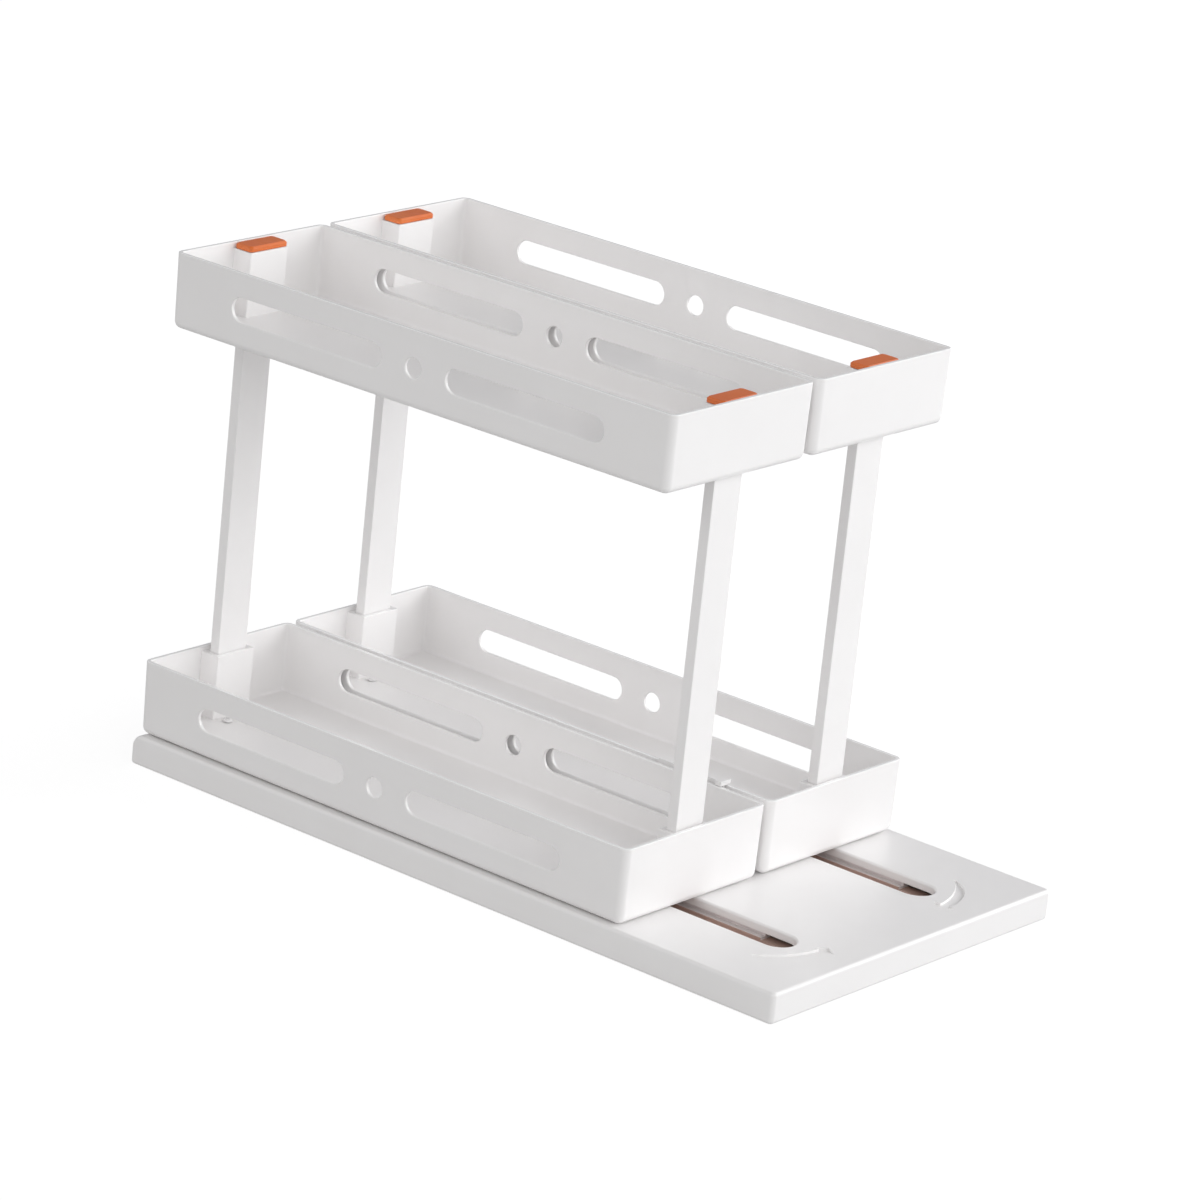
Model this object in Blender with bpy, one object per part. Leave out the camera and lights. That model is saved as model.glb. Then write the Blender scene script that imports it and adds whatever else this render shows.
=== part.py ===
"""Pull-out spice rack: two caddies side by side on one flat base plate.

Each caddy is a lower and an upper tray on two flat posts with coloured caps.
It runs forward along a slot in the base plate on a captive slider, and turns
outward about a pin near its rear end.

Metres, +Z up. The front faces -Y and +X is to the right. The origin is at
the centre of the underside.
"""

from math import cos, pi, radians, sin, sqrt

import bmesh
import bpy
from mathutils import Vector

# Clearances
GAP = 0.0003
OVERRUN = 0.0010

# Base plate
PLATE_WIDTH = 0.1815
PLATE_LENGTH = 0.3425
PLATE_HEIGHT = 0.0130
PLATE_CORNER_RADIUS = 0.0030
PLATE_EDGE_RADIUS = 0.0016
PLATE_BACK_RADIUS = 0.0055
PLATE_FOOT_RADIUS = 0.0015
COVER_WALL = 0.0022
COVER_TOP = 0.0034
BOTTOM_THICKNESS = 0.0020

# Slots in the base plate, and the turning marks round their front ends
SLOT_WIDTH = 0.0150
SLOT_FRONT_MARGIN = 0.0267
MARK_CENTRE_INSIDE = 0.0047
MARK_CENTRE_BEHIND = 0.0085
MARK_RADIUS = 0.0288
MARK_WIDTH = 0.0046
MARK_DEPTH = 0.0009
MARK_HEAD_HALF_WIDTH = 0.0050
MARK_START = radians(-26)
MARK_NECK = radians(-92)
MARK_TIP = radians(-101)
MARK_SWELL_START_SHARE = 0.04
MARK_SWELL_SPAN_SHARE = 0.62
MARK_SWELL_POWER = 0.8

# Tracks under the slots
TRACK_SIDE = 0.0034
TRACK_FLOOR = 0.0012
TRACK_GROOVE = 0.0130
TRACK_FRONT_STEP = 0.0206
TRACK_FRONT_DROP = 0.0010

# Trays
TRAY_WIDTH = 0.0874
TRAY_LENGTH = 0.2620
TRAY_HEIGHT = 0.0319
TRAY_DRAFT = 0.0004
TRAY_WALL = 0.0018
TRAY_FLOOR = 0.0020
TRAY_CORNER_RADIUS = 0.0034
TRAY_FOOT_RADIUS = 0.0032
TRAY_INNER_RADIUS = 0.0014
RIM_CHAMFER = 0.0004
TRAY_SPACING = 0.1755
CADDY_GAP = 0.0030
CADDY_BACK_MARGIN = 0.0018
CADDY_LIFT = 0.0006
SEAT_DEPTH = 0.0010

# Openings in the long walls of the trays
WINDOW_HEIGHT = 0.0102
WINDOW_LENGTH = 0.0812
WINDOW_LEVEL = 0.0166
EYELET_DIAMETER = 0.0086
EYELET_TO_WINDOW = 0.0125

# Post sockets, posts and caps
LOWER_BOSS_DROP = 0.0018
UPPER_BOSS_DROP = 0.0026
BOSS_CORNER_RADIUS = 0.0006
POST_WIDTH = 0.0170
POST_DEPTH = 0.0048
POST_CORNER_RADIUS = 0.0004
CAP_WIDTH = 0.0220
CAP_DEPTH = 0.0094
CAP_THICKNESS = 0.0022
CAP_CORNER_RADIUS = 0.0016
CAP_CHAMFER = 0.0007
CAP_PLUG_LENGTH = 0.0050

# Slider, turning disc and the screw that holds them together
PIVOT_INSET = 0.0120
SLIDER_WIDTH = 0.0186
SLIDER_AHEAD = 0.0180
SLIDER_BEHIND = 0.0085
SLIDER_THICKNESS = 0.0014
SLIDER_CORNER_RADIUS = 0.0020
SLIDER_NECK_GAP = 0.0004
DISC_RADIUS = 0.0112
SPIGOT_RADIUS = 0.0030
SPIGOT_BORE_RADIUS = 0.0019
SPIGOT_BORE_DEPTH = 0.0045
PIVOT_SCREW_RADIUS = 0.0015
PIVOT_SCREW_REACH = 0.0040
PIVOT_HEAD_RADIUS = 0.0029
PIVOT_HEAD_HEIGHT = 0.0020
WASHER_RADIUS = 0.0035
WASHER_THICKNESS = 0.0008

# Small screws that hold the disc to the tray
DISC_SCREW_SPREAD = 0.0070
DISC_SCREW_AHEAD = 0.0040
DISC_SCREW_RADIUS = 0.0010
DISC_SCREW_HEAD_RADIUS = 0.0022
DISC_SCREW_HEAD_HEIGHT = 0.0012

# Glide pads between each lower tray and the base plate
GLIDE_RADIUS = 0.0045
GLIDE_SIDE_INSET = 0.0120
GLIDE_END_INSET = 0.0300

# Screws and pads of the base plate
BASE_SCREW_RADIUS = 0.0011
BASE_SCREW_HEAD_RADIUS = 0.0024
BASE_SCREW_HEAD_HEIGHT = 0.0010
BASE_SCREW_LENGTH = 0.0070
BASE_POST_RADIUS = 0.0035
BASE_SCREW_SIDE_INSET = 0.0120
BASE_SCREW_END_INSET = 0.0180
PAD_WIDTH = 0.0180
PAD_LENGTH = 0.0420
PAD_THICKNESS = 0.0006
PAD_SIDE_INSET = 0.0400
PAD_END_INSET = 0.0400
PAD_CORNER_RADIUS = 0.0040

# Clip on the inner rim of the right lower tray
CLIP_LENGTH = 0.0340
CLIP_FRONT_INSET = 0.0240
CLIP_THICKNESS = 0.0009
CLIP_LEG = 0.0040
CLIP_TAB_LENGTH = 0.0022
CLIP_TAB_RISE = 0.0010

# Facets of round forms
FINE_STEPS = 2
CORNER_STEPS = 4
ROUND_STEPS = 24
END_STEPS = 8
MARK_STEPS = 12
LEVEL_DIGITS = 6
CREASE_ANGLE = radians(32)

# Heights worked out from the sizes above
COVER_UNDERSIDE = PLATE_HEIGHT - COVER_TOP
TRACK_BOTTOM = BOTTOM_THICKNESS + GAP
TRACK_TOP = COVER_UNDERSIDE - GAP
TRAY_BOTTOM = PLATE_HEIGHT + CADDY_LIFT
FLOOR_TOP = TRAY_BOTTOM + TRAY_FLOOR
LOWER_RIM = TRAY_BOTTOM + TRAY_HEIGHT
UPPER_BOTTOM = TRAY_BOTTOM + TRAY_SPACING
UPPER_RIM = UPPER_BOTTOM + TRAY_HEIGHT
CAP_BOTTOM = UPPER_RIM - UPPER_BOSS_DROP + GAP
SLIDER_TOP = COVER_UNDERSIDE - GAP
SLIDER_BOTTOM = SLIDER_TOP - SLIDER_THICKNESS
TRACK_LEDGE = SLIDER_BOTTOM - GAP
DISC_BOTTOM = PLATE_HEIGHT + GAP
SEAT_TOP = TRAY_BOTTOM + SEAT_DEPTH
DISC_TOP = SEAT_TOP - GAP
WASHER_TOP = SLIDER_BOTTOM - GAP

# Places along the rack
POST_INSET = TRAY_WALL + GAP + CAP_DEPTH / 2
BOSS_DEPTH = POST_INSET + CAP_DEPTH / 2
CADDY_X = (TRAY_WIDTH + CADDY_GAP) / 2
CADDY_BACK = PLATE_LENGTH / 2 - CADDY_BACK_MARGIN
PIVOT_Y = CADDY_BACK - PIVOT_INSET
TRAY_CENTRE = CADDY_BACK - TRAY_LENGTH / 2 - PIVOT_Y
SLOT_FRONT = -PLATE_LENGTH / 2 + SLOT_FRONT_MARGIN
SLOT_BACK = PIVOT_Y + SLOT_WIDTH / 2
TRACK_FRONT = SLOT_FRONT + TRACK_FRONT_STEP
TRACK_BACK = PLATE_LENGTH / 2 - COVER_WALL - GAP
SIDES = {"left": -1, "right": 1}


def clear_scene():
    """Remove every object so that the model starts from nothing."""
    for item in list(bpy.data.objects):
        bpy.data.objects.remove(item)


def make_material(name, colour, roughness, metallic=0.0):
    """Return a material with one Principled shader."""
    material = bpy.data.materials.new(name)
    material.use_nodes = True
    shader = material.node_tree.nodes["Principled BSDF"]
    shader.inputs["Base Color"].default_value = (*colour, 1.0)
    shader.inputs["Roughness"].default_value = roughness
    shader.inputs["Metallic"].default_value = metallic
    material.diffuse_color = (*colour, 1.0)
    return material


def white_plastic(name):
    return make_material(name, (0.88, 0.87, 0.87), 0.36)


def orange_plastic(name):
    return make_material(name, (0.80, 0.16, 0.02), 0.32)


def track_plastic(name):
    return make_material(name, (0.74, 0.67, 0.65), 0.47)


def slider_plastic(name):
    return make_material(name, (0.62, 0.61, 0.60), 0.40)


def pad_rubber(name):
    return make_material(name, (0.30, 0.30, 0.31), 0.85)


def screw_steel(name):
    return make_material(name, (0.62, 0.62, 0.64), 0.30, metallic=1.0)


def screw_enamel(name):
    return make_material(name, (0.86, 0.85, 0.85), 0.34)


def arc(centre, radius, start, end, steps):
    """Return points on an arc as (first, second) pairs, both ends included."""
    points = []
    for index in range(steps + 1):
        angle = start + (end - start) * index / steps
        points.append((centre[0] + radius * cos(angle), centre[1] + radius * sin(angle)))
    return points


def rounded_outline(width, length, radius, centre=(0.0, 0.0), steps=CORNER_STEPS):
    """Return an anticlockwise rectangle with round corners."""
    half_width = width / 2 - radius
    half_length = length / 2 - radius
    corners = [(1, 1), (-1, 1), (-1, -1), (1, -1)]
    points = []
    for quarter, (side, end) in enumerate(corners):
        corner = (centre[0] + side * half_width, centre[1] + end * half_length)
        start = quarter * pi / 2
        points += arc(corner, radius, start, start + pi / 2, steps)
    return points


def circle_outline(radius, centre=(0.0, 0.0), steps=ROUND_STEPS):
    """Return an anticlockwise circle."""
    return arc(centre, radius, 0.0, 2 * pi * (steps - 1) / steps, steps - 1)


def capsule_outline(length, width, centre=(0.0, 0.0), steps=END_STEPS):
    """Return an anticlockwise slot with round ends, its length along the second axis."""
    reach = (length - width) / 2
    back = arc((centre[0], centre[1] + reach), width / 2, 0.0, pi, steps)
    front = arc((centre[0], centre[1] - reach), width / 2, pi, 2 * pi, steps)
    return back + front


def at_height(outline, level):
    """Lift a plan outline to one height."""
    return [Vector((x, y, level)) for x, y in outline]


def loft(name, rings):
    """Return a closed mesh through rings of equal count, capped at both ends."""
    shell = bmesh.new()
    loops = [[shell.verts.new(point) for point in ring] for ring in rings]
    count = len(loops[0])
    for lower, upper in zip(loops, loops[1:]):
        for index in range(count):
            after = (index + 1) % count
            shell.faces.new((lower[index], lower[after], upper[after], upper[index]))
    shell.faces.new(list(reversed(loops[0])))
    shell.faces.new(loops[-1])
    mesh = bpy.data.meshes.new(name)
    shell.to_mesh(mesh)
    shell.free()
    return mesh


def prism(name, outline, bottom, top):
    """Return an upright prism on a plan outline."""
    return loft(name, [at_height(outline, bottom), at_height(outline, top)])


def stepped_pillar(name, sections):
    """Return a turned or stepped pillar from (outline, level) pairs."""
    return loft(name, [at_height(outline, level) for outline, level in sections])


def sideways_prism(name, outline, left, right):
    """Return a prism along X on an outline given as (z, y) pairs."""
    near = [Vector((left, y, z)) for z, y in outline]
    far = [Vector((right, y, z)) for z, y in outline]
    return loft(name, [far, near])


def lengthwise_prism(name, outline, front, back):
    """Return a prism along Y on an outline given as (x, z) pairs."""
    near = [Vector((x, front, z)) for x, z in outline]
    far = [Vector((x, back, z)) for x, z in outline]
    return loft(name, [far, near])


def combine(body, others, operation):
    """Return the mesh of body after one boolean operation with each other mesh."""
    target = bpy.data.objects.new("combine_target", body)
    bpy.context.collection.objects.link(target)
    helpers = []
    for other in others:
        helper = bpy.data.objects.new("combine_helper", other)
        helper.hide_render = True
        helper.display_type = "WIRE"
        bpy.context.collection.objects.link(helper)
        helpers.append(helper)
        modifier = target.modifiers.new("combine", "BOOLEAN")
        modifier.operation = operation
        modifier.solver = "EXACT"
        modifier.object = helper
    bpy.context.view_layer.update()
    evaluated = target.evaluated_get(bpy.context.evaluated_depsgraph_get())
    result = bpy.data.meshes.new_from_object(evaluated)
    result.name = body.name
    for item in [target] + helpers:
        bpy.data.objects.remove(item)
    return result


def cut(body, cutters):
    return combine(body, cutters, "DIFFERENCE")


def join(body, additions):
    return combine(body, additions, "UNION")


def place(name, mesh, material, parent=None, spot=(0.0, 0.0)):
    """Add one named object at a plan position, shaded smooth with crisp edges."""
    own_mesh = mesh.copy()
    own_mesh.name = name
    own_mesh.materials.clear()
    own_mesh.materials.append(material)
    own_mesh.shade_smooth()
    own_mesh.set_sharp_from_angle(angle=CREASE_ANGLE)
    item = bpy.data.objects.new(name, own_mesh)
    item.location = (*spot, 0.0)
    item.parent = parent
    bpy.context.collection.objects.link(item)


def make_empty(name, location, parent=None):
    """Add an empty that carries the pieces of one moving body."""
    item = bpy.data.objects.new(name, None)
    item.location = location
    item.parent = parent
    bpy.context.collection.objects.link(item)
    return item


def edge_inset(height_below_top, radius):
    """Return how far a rounded top edge has drawn in at a depth below the top."""
    if height_below_top >= radius:
        return 0.0
    rise = radius - height_below_top
    return radius - sqrt(radius * radius - rise * rise)


def plate_outline(level):
    """Return the outline of the base plate at one height."""
    foot = edge_inset(level, PLATE_FOOT_RADIUS)
    side = max(edge_inset(PLATE_HEIGHT - level, PLATE_EDGE_RADIUS), foot)
    back = max(edge_inset(PLATE_HEIGHT - level, PLATE_BACK_RADIUS), foot)
    length = PLATE_LENGTH - side - back
    centre = (0.0, (side - back) / 2)
    return rounded_outline(PLATE_WIDTH - 2 * side, length, PLATE_CORNER_RADIUS, centre)


def quarter_levels(radius, steps):
    """Return the heights below a top edge at which its rounding is faceted."""
    return [radius * (1 - sin(pi / 2 * index / steps)) for index in range(steps + 1)]


def base_screw_places():
    """Return the plan positions of the screws that close the base plate."""
    side = PLATE_WIDTH / 2 - BASE_SCREW_SIDE_INSET
    end = PLATE_LENGTH / 2 - BASE_SCREW_END_INSET
    return [(x, y) for x in (-side, side) for y in (-end, 0.0, end)]


def pad_places():
    """Return the plan positions of the pads under the base plate."""
    side = PLATE_WIDTH / 2 - PAD_SIDE_INSET
    end = PLATE_LENGTH / 2 - PAD_END_INSET
    return [(x, y) for x in (-side, side) for y in (-end, end)]


def turning_mark(side):
    """Return the cutter of the shallow curved arrow beside one slot's front end."""
    centre_x = side * (CADDY_X - MARK_CENTRE_INSIDE)
    centre_y = SLOT_FRONT + SLOT_WIDTH / 2 + MARK_CENTRE_BEHIND
    outer = []
    inner = []
    for index in range(MARK_STEPS + 1):
        share = index / MARK_STEPS
        angle = MARK_START + (MARK_NECK - MARK_START) * share
        swell = sin(pi * (MARK_SWELL_START_SHARE + MARK_SWELL_SPAN_SHARE * share))
        width = MARK_WIDTH * swell ** MARK_SWELL_POWER
        outer.append((MARK_RADIUS, angle))
        inner.append((MARK_RADIUS - width, angle))
    middle = MARK_RADIUS - MARK_WIDTH / 2
    head = [(middle + MARK_HEAD_HALF_WIDTH, MARK_NECK), (middle, MARK_TIP),
            (middle - MARK_HEAD_HALF_WIDTH, MARK_NECK)]
    points = []
    for radius, angle in outer + head + list(reversed(inner)):
        points.append((centre_x + side * radius * cos(angle), centre_y + radius * sin(angle)))
    if side > 0:
        points.reverse()
    return prism("turning_mark_cutter", points, PLATE_HEIGHT - MARK_DEPTH, PLATE_HEIGHT + OVERRUN)


def base_cover_mesh():
    """Return the top shell of the base plate, with both slots."""
    depths = quarter_levels(PLATE_EDGE_RADIUS, CORNER_STEPS)
    depths += quarter_levels(PLATE_BACK_RADIUS, CORNER_STEPS)
    levels = {round(PLATE_HEIGHT - depth, LEVEL_DIGITS) for depth in depths}
    levels |= {round(level, LEVEL_DIGITS) for level in quarter_levels(PLATE_FOOT_RADIUS, FINE_STEPS)}
    body = loft("base_cover", [at_height(plate_outline(level), level) for level in sorted(levels)])
    cavity_outline = rounded_outline(PLATE_WIDTH - 2 * COVER_WALL, PLATE_LENGTH - 2 * COVER_WALL,
                                     PLATE_CORNER_RADIUS - COVER_WALL / 2)
    body = cut(body, [prism("cover_cavity", cavity_outline, -OVERRUN, COVER_UNDERSIDE)])
    posts = [prism("cover_post", circle_outline(BASE_POST_RADIUS, spot), TRACK_BOTTOM,
                   PLATE_HEIGHT - COVER_TOP / 2)
             for spot in base_screw_places()]
    body = join(body, posts)
    bores = [prism("cover_bore", circle_outline(BASE_SCREW_RADIUS + GAP, spot), TRACK_BOTTOM - OVERRUN,
                   BASE_SCREW_LENGTH + BASE_SCREW_HEAD_HEIGHT + GAP)
             for spot in base_screw_places()]
    slot_length = SLOT_BACK - SLOT_FRONT
    cutters = []
    for side in SIDES.values():
        centre = (side * CADDY_X, (SLOT_BACK + SLOT_FRONT) / 2)
        outline = capsule_outline(slot_length, SLOT_WIDTH, centre)
        cutters.append(prism("slot_cutter", outline, COVER_UNDERSIDE - OVERRUN, PLATE_HEIGHT + OVERRUN))
        cutters.append(turning_mark(side))
    return cut(body, bores + cutters)


def base_bottom_mesh():
    """Return the flat plate that closes the base from below."""
    outline = rounded_outline(PLATE_WIDTH - 2 * (COVER_WALL + GAP), PLATE_LENGTH - 2 * (COVER_WALL + GAP),
                              PLATE_CORNER_RADIUS - COVER_WALL / 2)
    body = prism("base_bottom_plate", outline, 0.0, BOTTOM_THICKNESS)
    cutters = []
    for spot in base_screw_places():
        bore = circle_outline(BASE_SCREW_RADIUS + GAP, spot)
        recess = circle_outline(BASE_SCREW_HEAD_RADIUS + GAP, spot)
        cutters.append(prism("screw_bore", bore, -OVERRUN, BOTTOM_THICKNESS + OVERRUN))
        cutters.append(prism("screw_recess", recess, -OVERRUN, BASE_SCREW_HEAD_HEIGHT))
    for spot in pad_places():
        pocket = rounded_outline(PAD_WIDTH + 2 * GAP, PAD_LENGTH + 2 * GAP, PAD_CORNER_RADIUS + GAP, spot)
        cutters.append(prism("pad_pocket", pocket, -OVERRUN, PAD_THICKNESS + GAP))
    return cut(body, cutters)


def base_pad_mesh():
    """Return one pad that is let into the underside."""
    return prism("base_pad", rounded_outline(PAD_WIDTH, PAD_LENGTH, PAD_CORNER_RADIUS), 0.0, PAD_THICKNESS)


def screw_mesh(head_radius, head_bottom, head_top, shaft_radius, shaft_end):
    """Return a screw whose shaft goes up from its head."""
    head = circle_outline(head_radius)
    shaft = circle_outline(shaft_radius)
    sections = [(head, head_bottom), (head, head_top), (shaft, head_top), (shaft, shaft_end)]
    return stepped_pillar("screw", sections)


def base_screw_mesh():
    """Return one screw that holds the bottom plate to the cover."""
    head_top = BASE_SCREW_HEAD_HEIGHT - GAP
    return screw_mesh(BASE_SCREW_HEAD_RADIUS, 0.0, head_top, BASE_SCREW_RADIUS, BASE_SCREW_LENGTH)


def track_mesh():
    """Return one track: two ledges beside a groove, all lower ahead of the front step."""
    inner = SLIDER_WIDTH / 2 + GAP
    half = inner + TRACK_SIDE
    groove = TRACK_GROOVE / 2
    groove_floor = TRACK_BOTTOM + TRACK_FLOOR
    right_side = [(half, TRACK_BOTTOM), (half, TRACK_TOP), (inner, TRACK_TOP), (inner, TRACK_LEDGE),
                  (groove, TRACK_LEDGE), (groove, groove_floor)]
    left_side = [(-x, z) for x, z in reversed(right_side)]
    channel = lengthwise_prism("track", right_side + left_side, -TRACK_BACK, TRACK_BACK)
    reach = half + OVERRUN
    low = TRACK_LEDGE - TRACK_FRONT_DROP
    high = TRACK_TOP + OVERRUN
    block = [(-reach, low), (reach, low), (reach, high), (-reach, high)]
    return cut(channel, [lengthwise_prism("track_front", block, -TRACK_BACK - OVERRUN, TRACK_FRONT)])


def slider_mesh():
    """Return the captive slider, its origin on the turning axis."""
    length = SLIDER_AHEAD + SLIDER_BEHIND
    centre = (0.0, (SLIDER_BEHIND - SLIDER_AHEAD) / 2)
    shoe = prism("slider", rounded_outline(SLIDER_WIDTH, length, SLIDER_CORNER_RADIUS, centre),
                 SLIDER_BOTTOM, SLIDER_TOP)
    neck_outline = circle_outline(SLOT_WIDTH / 2 - SLIDER_NECK_GAP)
    neck = prism("slider_neck", neck_outline, SLIDER_BOTTOM + SLIDER_THICKNESS / 2, PLATE_HEIGHT)
    bore = prism("slider_bore", circle_outline(SPIGOT_RADIUS + GAP), SLIDER_BOTTOM - OVERRUN,
                 PLATE_HEIGHT + OVERRUN)
    return cut(join(shoe, [neck]), [bore])


def disc_screw_places():
    """Return the places of the disc's screws, measured from the turning axis."""
    return [(-DISC_SCREW_SPREAD, -DISC_SCREW_AHEAD), (DISC_SCREW_SPREAD, -DISC_SCREW_AHEAD)]


def turning_disc_mesh():
    """Return the disc under a lower tray, with the spigot that turns in the slider."""
    bore = circle_outline(SPIGOT_BORE_RADIUS)
    spigot = circle_outline(SPIGOT_RADIUS)
    disc = circle_outline(DISC_RADIUS)
    sections = [(bore, SLIDER_BOTTOM + SPIGOT_BORE_DEPTH), (bore, SLIDER_BOTTOM), (spigot, SLIDER_BOTTOM),
                (spigot, DISC_BOTTOM), (disc, DISC_BOTTOM), (disc, DISC_TOP)]
    body = stepped_pillar("turning_disc", sections)
    holes = [prism("disc_hole", circle_outline(DISC_SCREW_RADIUS + GAP, spot), DISC_BOTTOM - OVERRUN,
                   DISC_TOP + OVERRUN)
             for spot in disc_screw_places()]
    return cut(body, holes)


def pivot_washer_mesh():
    """Return the washer under the slider."""
    outer = circle_outline(WASHER_RADIUS)
    inner = circle_outline(SPIGOT_BORE_RADIUS)
    body = prism("pivot_washer", outer, WASHER_TOP - WASHER_THICKNESS, WASHER_TOP)
    hole = prism("washer_hole", inner, WASHER_TOP - WASHER_THICKNESS - OVERRUN, WASHER_TOP + OVERRUN)
    return cut(body, [hole])


def pivot_screw_mesh():
    """Return the screw that goes up into the spigot."""
    head_top = WASHER_TOP - WASHER_THICKNESS - GAP
    head_bottom = head_top - PIVOT_HEAD_HEIGHT
    shaft_end = SLIDER_BOTTOM + PIVOT_SCREW_REACH
    return screw_mesh(PIVOT_HEAD_RADIUS, head_bottom, head_top, PIVOT_SCREW_RADIUS, shaft_end)


def disc_screw_mesh():
    """Return one screw from the tray floor down into the disc."""
    shaft = circle_outline(DISC_SCREW_RADIUS)
    head = circle_outline(DISC_SCREW_HEAD_RADIUS)
    seat = FLOOR_TOP + GAP
    head_top = seat + DISC_SCREW_HEAD_HEIGHT
    sections = [(shaft, DISC_BOTTOM + GAP), (shaft, seat), (head, seat), (head, head_top)]
    return stepped_pillar("disc_screw", sections)


def tray_ring(inset, level, bottom, radius):
    """Return one outline of a tray, drawn in by its draft and by inset."""
    draft = TRAY_DRAFT * (1 - level / TRAY_HEIGHT)
    shrink = 2 * (inset + draft)
    outline = rounded_outline(TRAY_WIDTH - shrink, TRAY_LENGTH - shrink, radius, (0.0, TRAY_CENTRE))
    return at_height(outline, bottom + level)


def tray_shell(bottom):
    """Return the open box of a tray with thin drafted walls."""
    outer_radius = TRAY_CORNER_RADIUS
    inner_radius = TRAY_CORNER_RADIUS - TRAY_WALL / 2
    rings = []
    for index in range(CORNER_STEPS + 1):
        angle = pi / 2 * index / CORNER_STEPS
        inset = TRAY_FOOT_RADIUS * (1 - sin(angle))
        rings.append(tray_ring(inset, TRAY_FOOT_RADIUS * (1 - cos(angle)), bottom, outer_radius))
    rings.append(tray_ring(0.0, TRAY_HEIGHT - RIM_CHAMFER, bottom, outer_radius))
    rings.append(tray_ring(RIM_CHAMFER, TRAY_HEIGHT, bottom, outer_radius))
    rings.append(tray_ring(TRAY_WALL - RIM_CHAMFER, TRAY_HEIGHT, bottom, inner_radius))
    rings.append(tray_ring(TRAY_WALL, TRAY_HEIGHT - RIM_CHAMFER, bottom, inner_radius))
    rings.append(tray_ring(TRAY_WALL, TRAY_FLOOR + TRAY_INNER_RADIUS, bottom, inner_radius))
    rings.append(tray_ring(TRAY_WALL + TRAY_INNER_RADIUS, TRAY_FLOOR, bottom, inner_radius))
    return loft("tray", rings)


def post_places():
    """Return the plan positions of the front and rear posts of a caddy."""
    reach = TRAY_LENGTH / 2 - POST_INSET
    return {"front": (0.0, TRAY_CENTRE - reach), "rear": (0.0, TRAY_CENTRE + reach)}


def post_bosses(bottom, top):
    """Return the blocks at both ends of a tray that hold the posts."""
    root = (TRAY_DRAFT + TRAY_WALL) / 2
    depth = BOSS_DEPTH - root
    blocks = []
    for end in (-1, 1):
        middle = TRAY_CENTRE + end * (TRAY_LENGTH / 2 - root - depth / 2)
        outline = rounded_outline(CAP_WIDTH, depth, BOSS_CORNER_RADIUS, (0.0, middle), FINE_STEPS)
        blocks.append(prism("boss", outline, bottom + TRAY_FLOOR / 2, top))
    return blocks


def post_sockets(bottom, top):
    """Return the cutters of the sockets that take the posts."""
    width = POST_WIDTH + 2 * GAP
    depth = POST_DEPTH + 2 * GAP
    sockets = []
    for spot in post_places().values():
        outline = rounded_outline(width, depth, POST_CORNER_RADIUS, spot, FINE_STEPS)
        sockets.append(prism("socket", outline, bottom, top))
    return sockets


def wall_openings(bottom):
    """Return the cutters of the windows and eyelets in both long walls."""
    level = bottom + WINDOW_LEVEL
    reach = TRAY_WIDTH / 2 + OVERRUN
    offset = EYELET_DIAMETER / 2 + EYELET_TO_WINDOW + WINDOW_LENGTH / 2
    cutters = []
    for end in (-1, 1):
        outline = capsule_outline(WINDOW_LENGTH, WINDOW_HEIGHT, (level, TRAY_CENTRE + end * offset))
        cutters.append(sideways_prism("window", outline, -reach, reach))
    eyelet = circle_outline(EYELET_DIAMETER / 2, (level, TRAY_CENTRE), 2 * END_STEPS)
    cutters.append(sideways_prism("eyelet", eyelet, -reach, reach))
    return cutters


def lower_tray_mesh():
    """Return a lower tray, its origin on the turning axis."""
    body = join(tray_shell(TRAY_BOTTOM), post_bosses(TRAY_BOTTOM, LOWER_RIM - LOWER_BOSS_DROP))
    sockets = post_sockets(FLOOR_TOP, LOWER_RIM)
    seats = [prism("pad_seat", circle_outline(GLIDE_RADIUS + GAP, spot), TRAY_BOTTOM - OVERRUN, SEAT_TOP)
             for spot in glide_pad_places()]
    seats.append(prism("disc_seat", circle_outline(DISC_RADIUS + GAP), TRAY_BOTTOM - OVERRUN, SEAT_TOP))
    holes = [prism("floor_hole", circle_outline(DISC_SCREW_RADIUS + GAP, spot), TRAY_BOTTOM - OVERRUN,
                   FLOOR_TOP + OVERRUN)
             for spot in disc_screw_places()]
    return cut(body, wall_openings(TRAY_BOTTOM) + sockets + seats + holes)


def upper_tray_mesh():
    """Return an upper tray, open under its bosses so that the posts pass in."""
    body = join(tray_shell(UPPER_BOTTOM), post_bosses(UPPER_BOTTOM, UPPER_RIM - UPPER_BOSS_DROP))
    return cut(body, wall_openings(UPPER_BOTTOM) + post_sockets(UPPER_BOTTOM - OVERRUN, UPPER_RIM))


def post_mesh(spot):
    """Return one post, from the lower floor to just under the cap's plug."""
    outline = rounded_outline(POST_WIDTH, POST_DEPTH, POST_CORNER_RADIUS, spot, FINE_STEPS)
    return prism("post", outline, FLOOR_TOP + GAP, CAP_BOTTOM - CAP_PLUG_LENGTH - GAP)


def cap_mesh(spot):
    """Return one cap with the plug that goes into its socket."""
    top = CAP_BOTTOM + CAP_THICKNESS
    plug = rounded_outline(POST_WIDTH, POST_DEPTH, POST_CORNER_RADIUS, spot)
    face = rounded_outline(CAP_WIDTH, CAP_DEPTH, CAP_CORNER_RADIUS, spot)
    crown = rounded_outline(CAP_WIDTH - 2 * CAP_CHAMFER, CAP_DEPTH - 2 * CAP_CHAMFER,
                            CAP_CORNER_RADIUS - CAP_CHAMFER / 2, spot)
    sections = [(plug, CAP_BOTTOM - CAP_PLUG_LENGTH), (plug, CAP_BOTTOM), (face, CAP_BOTTOM),
                (face, top - CAP_CHAMFER), (crown, top)]
    return stepped_pillar("cap", sections)


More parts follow.
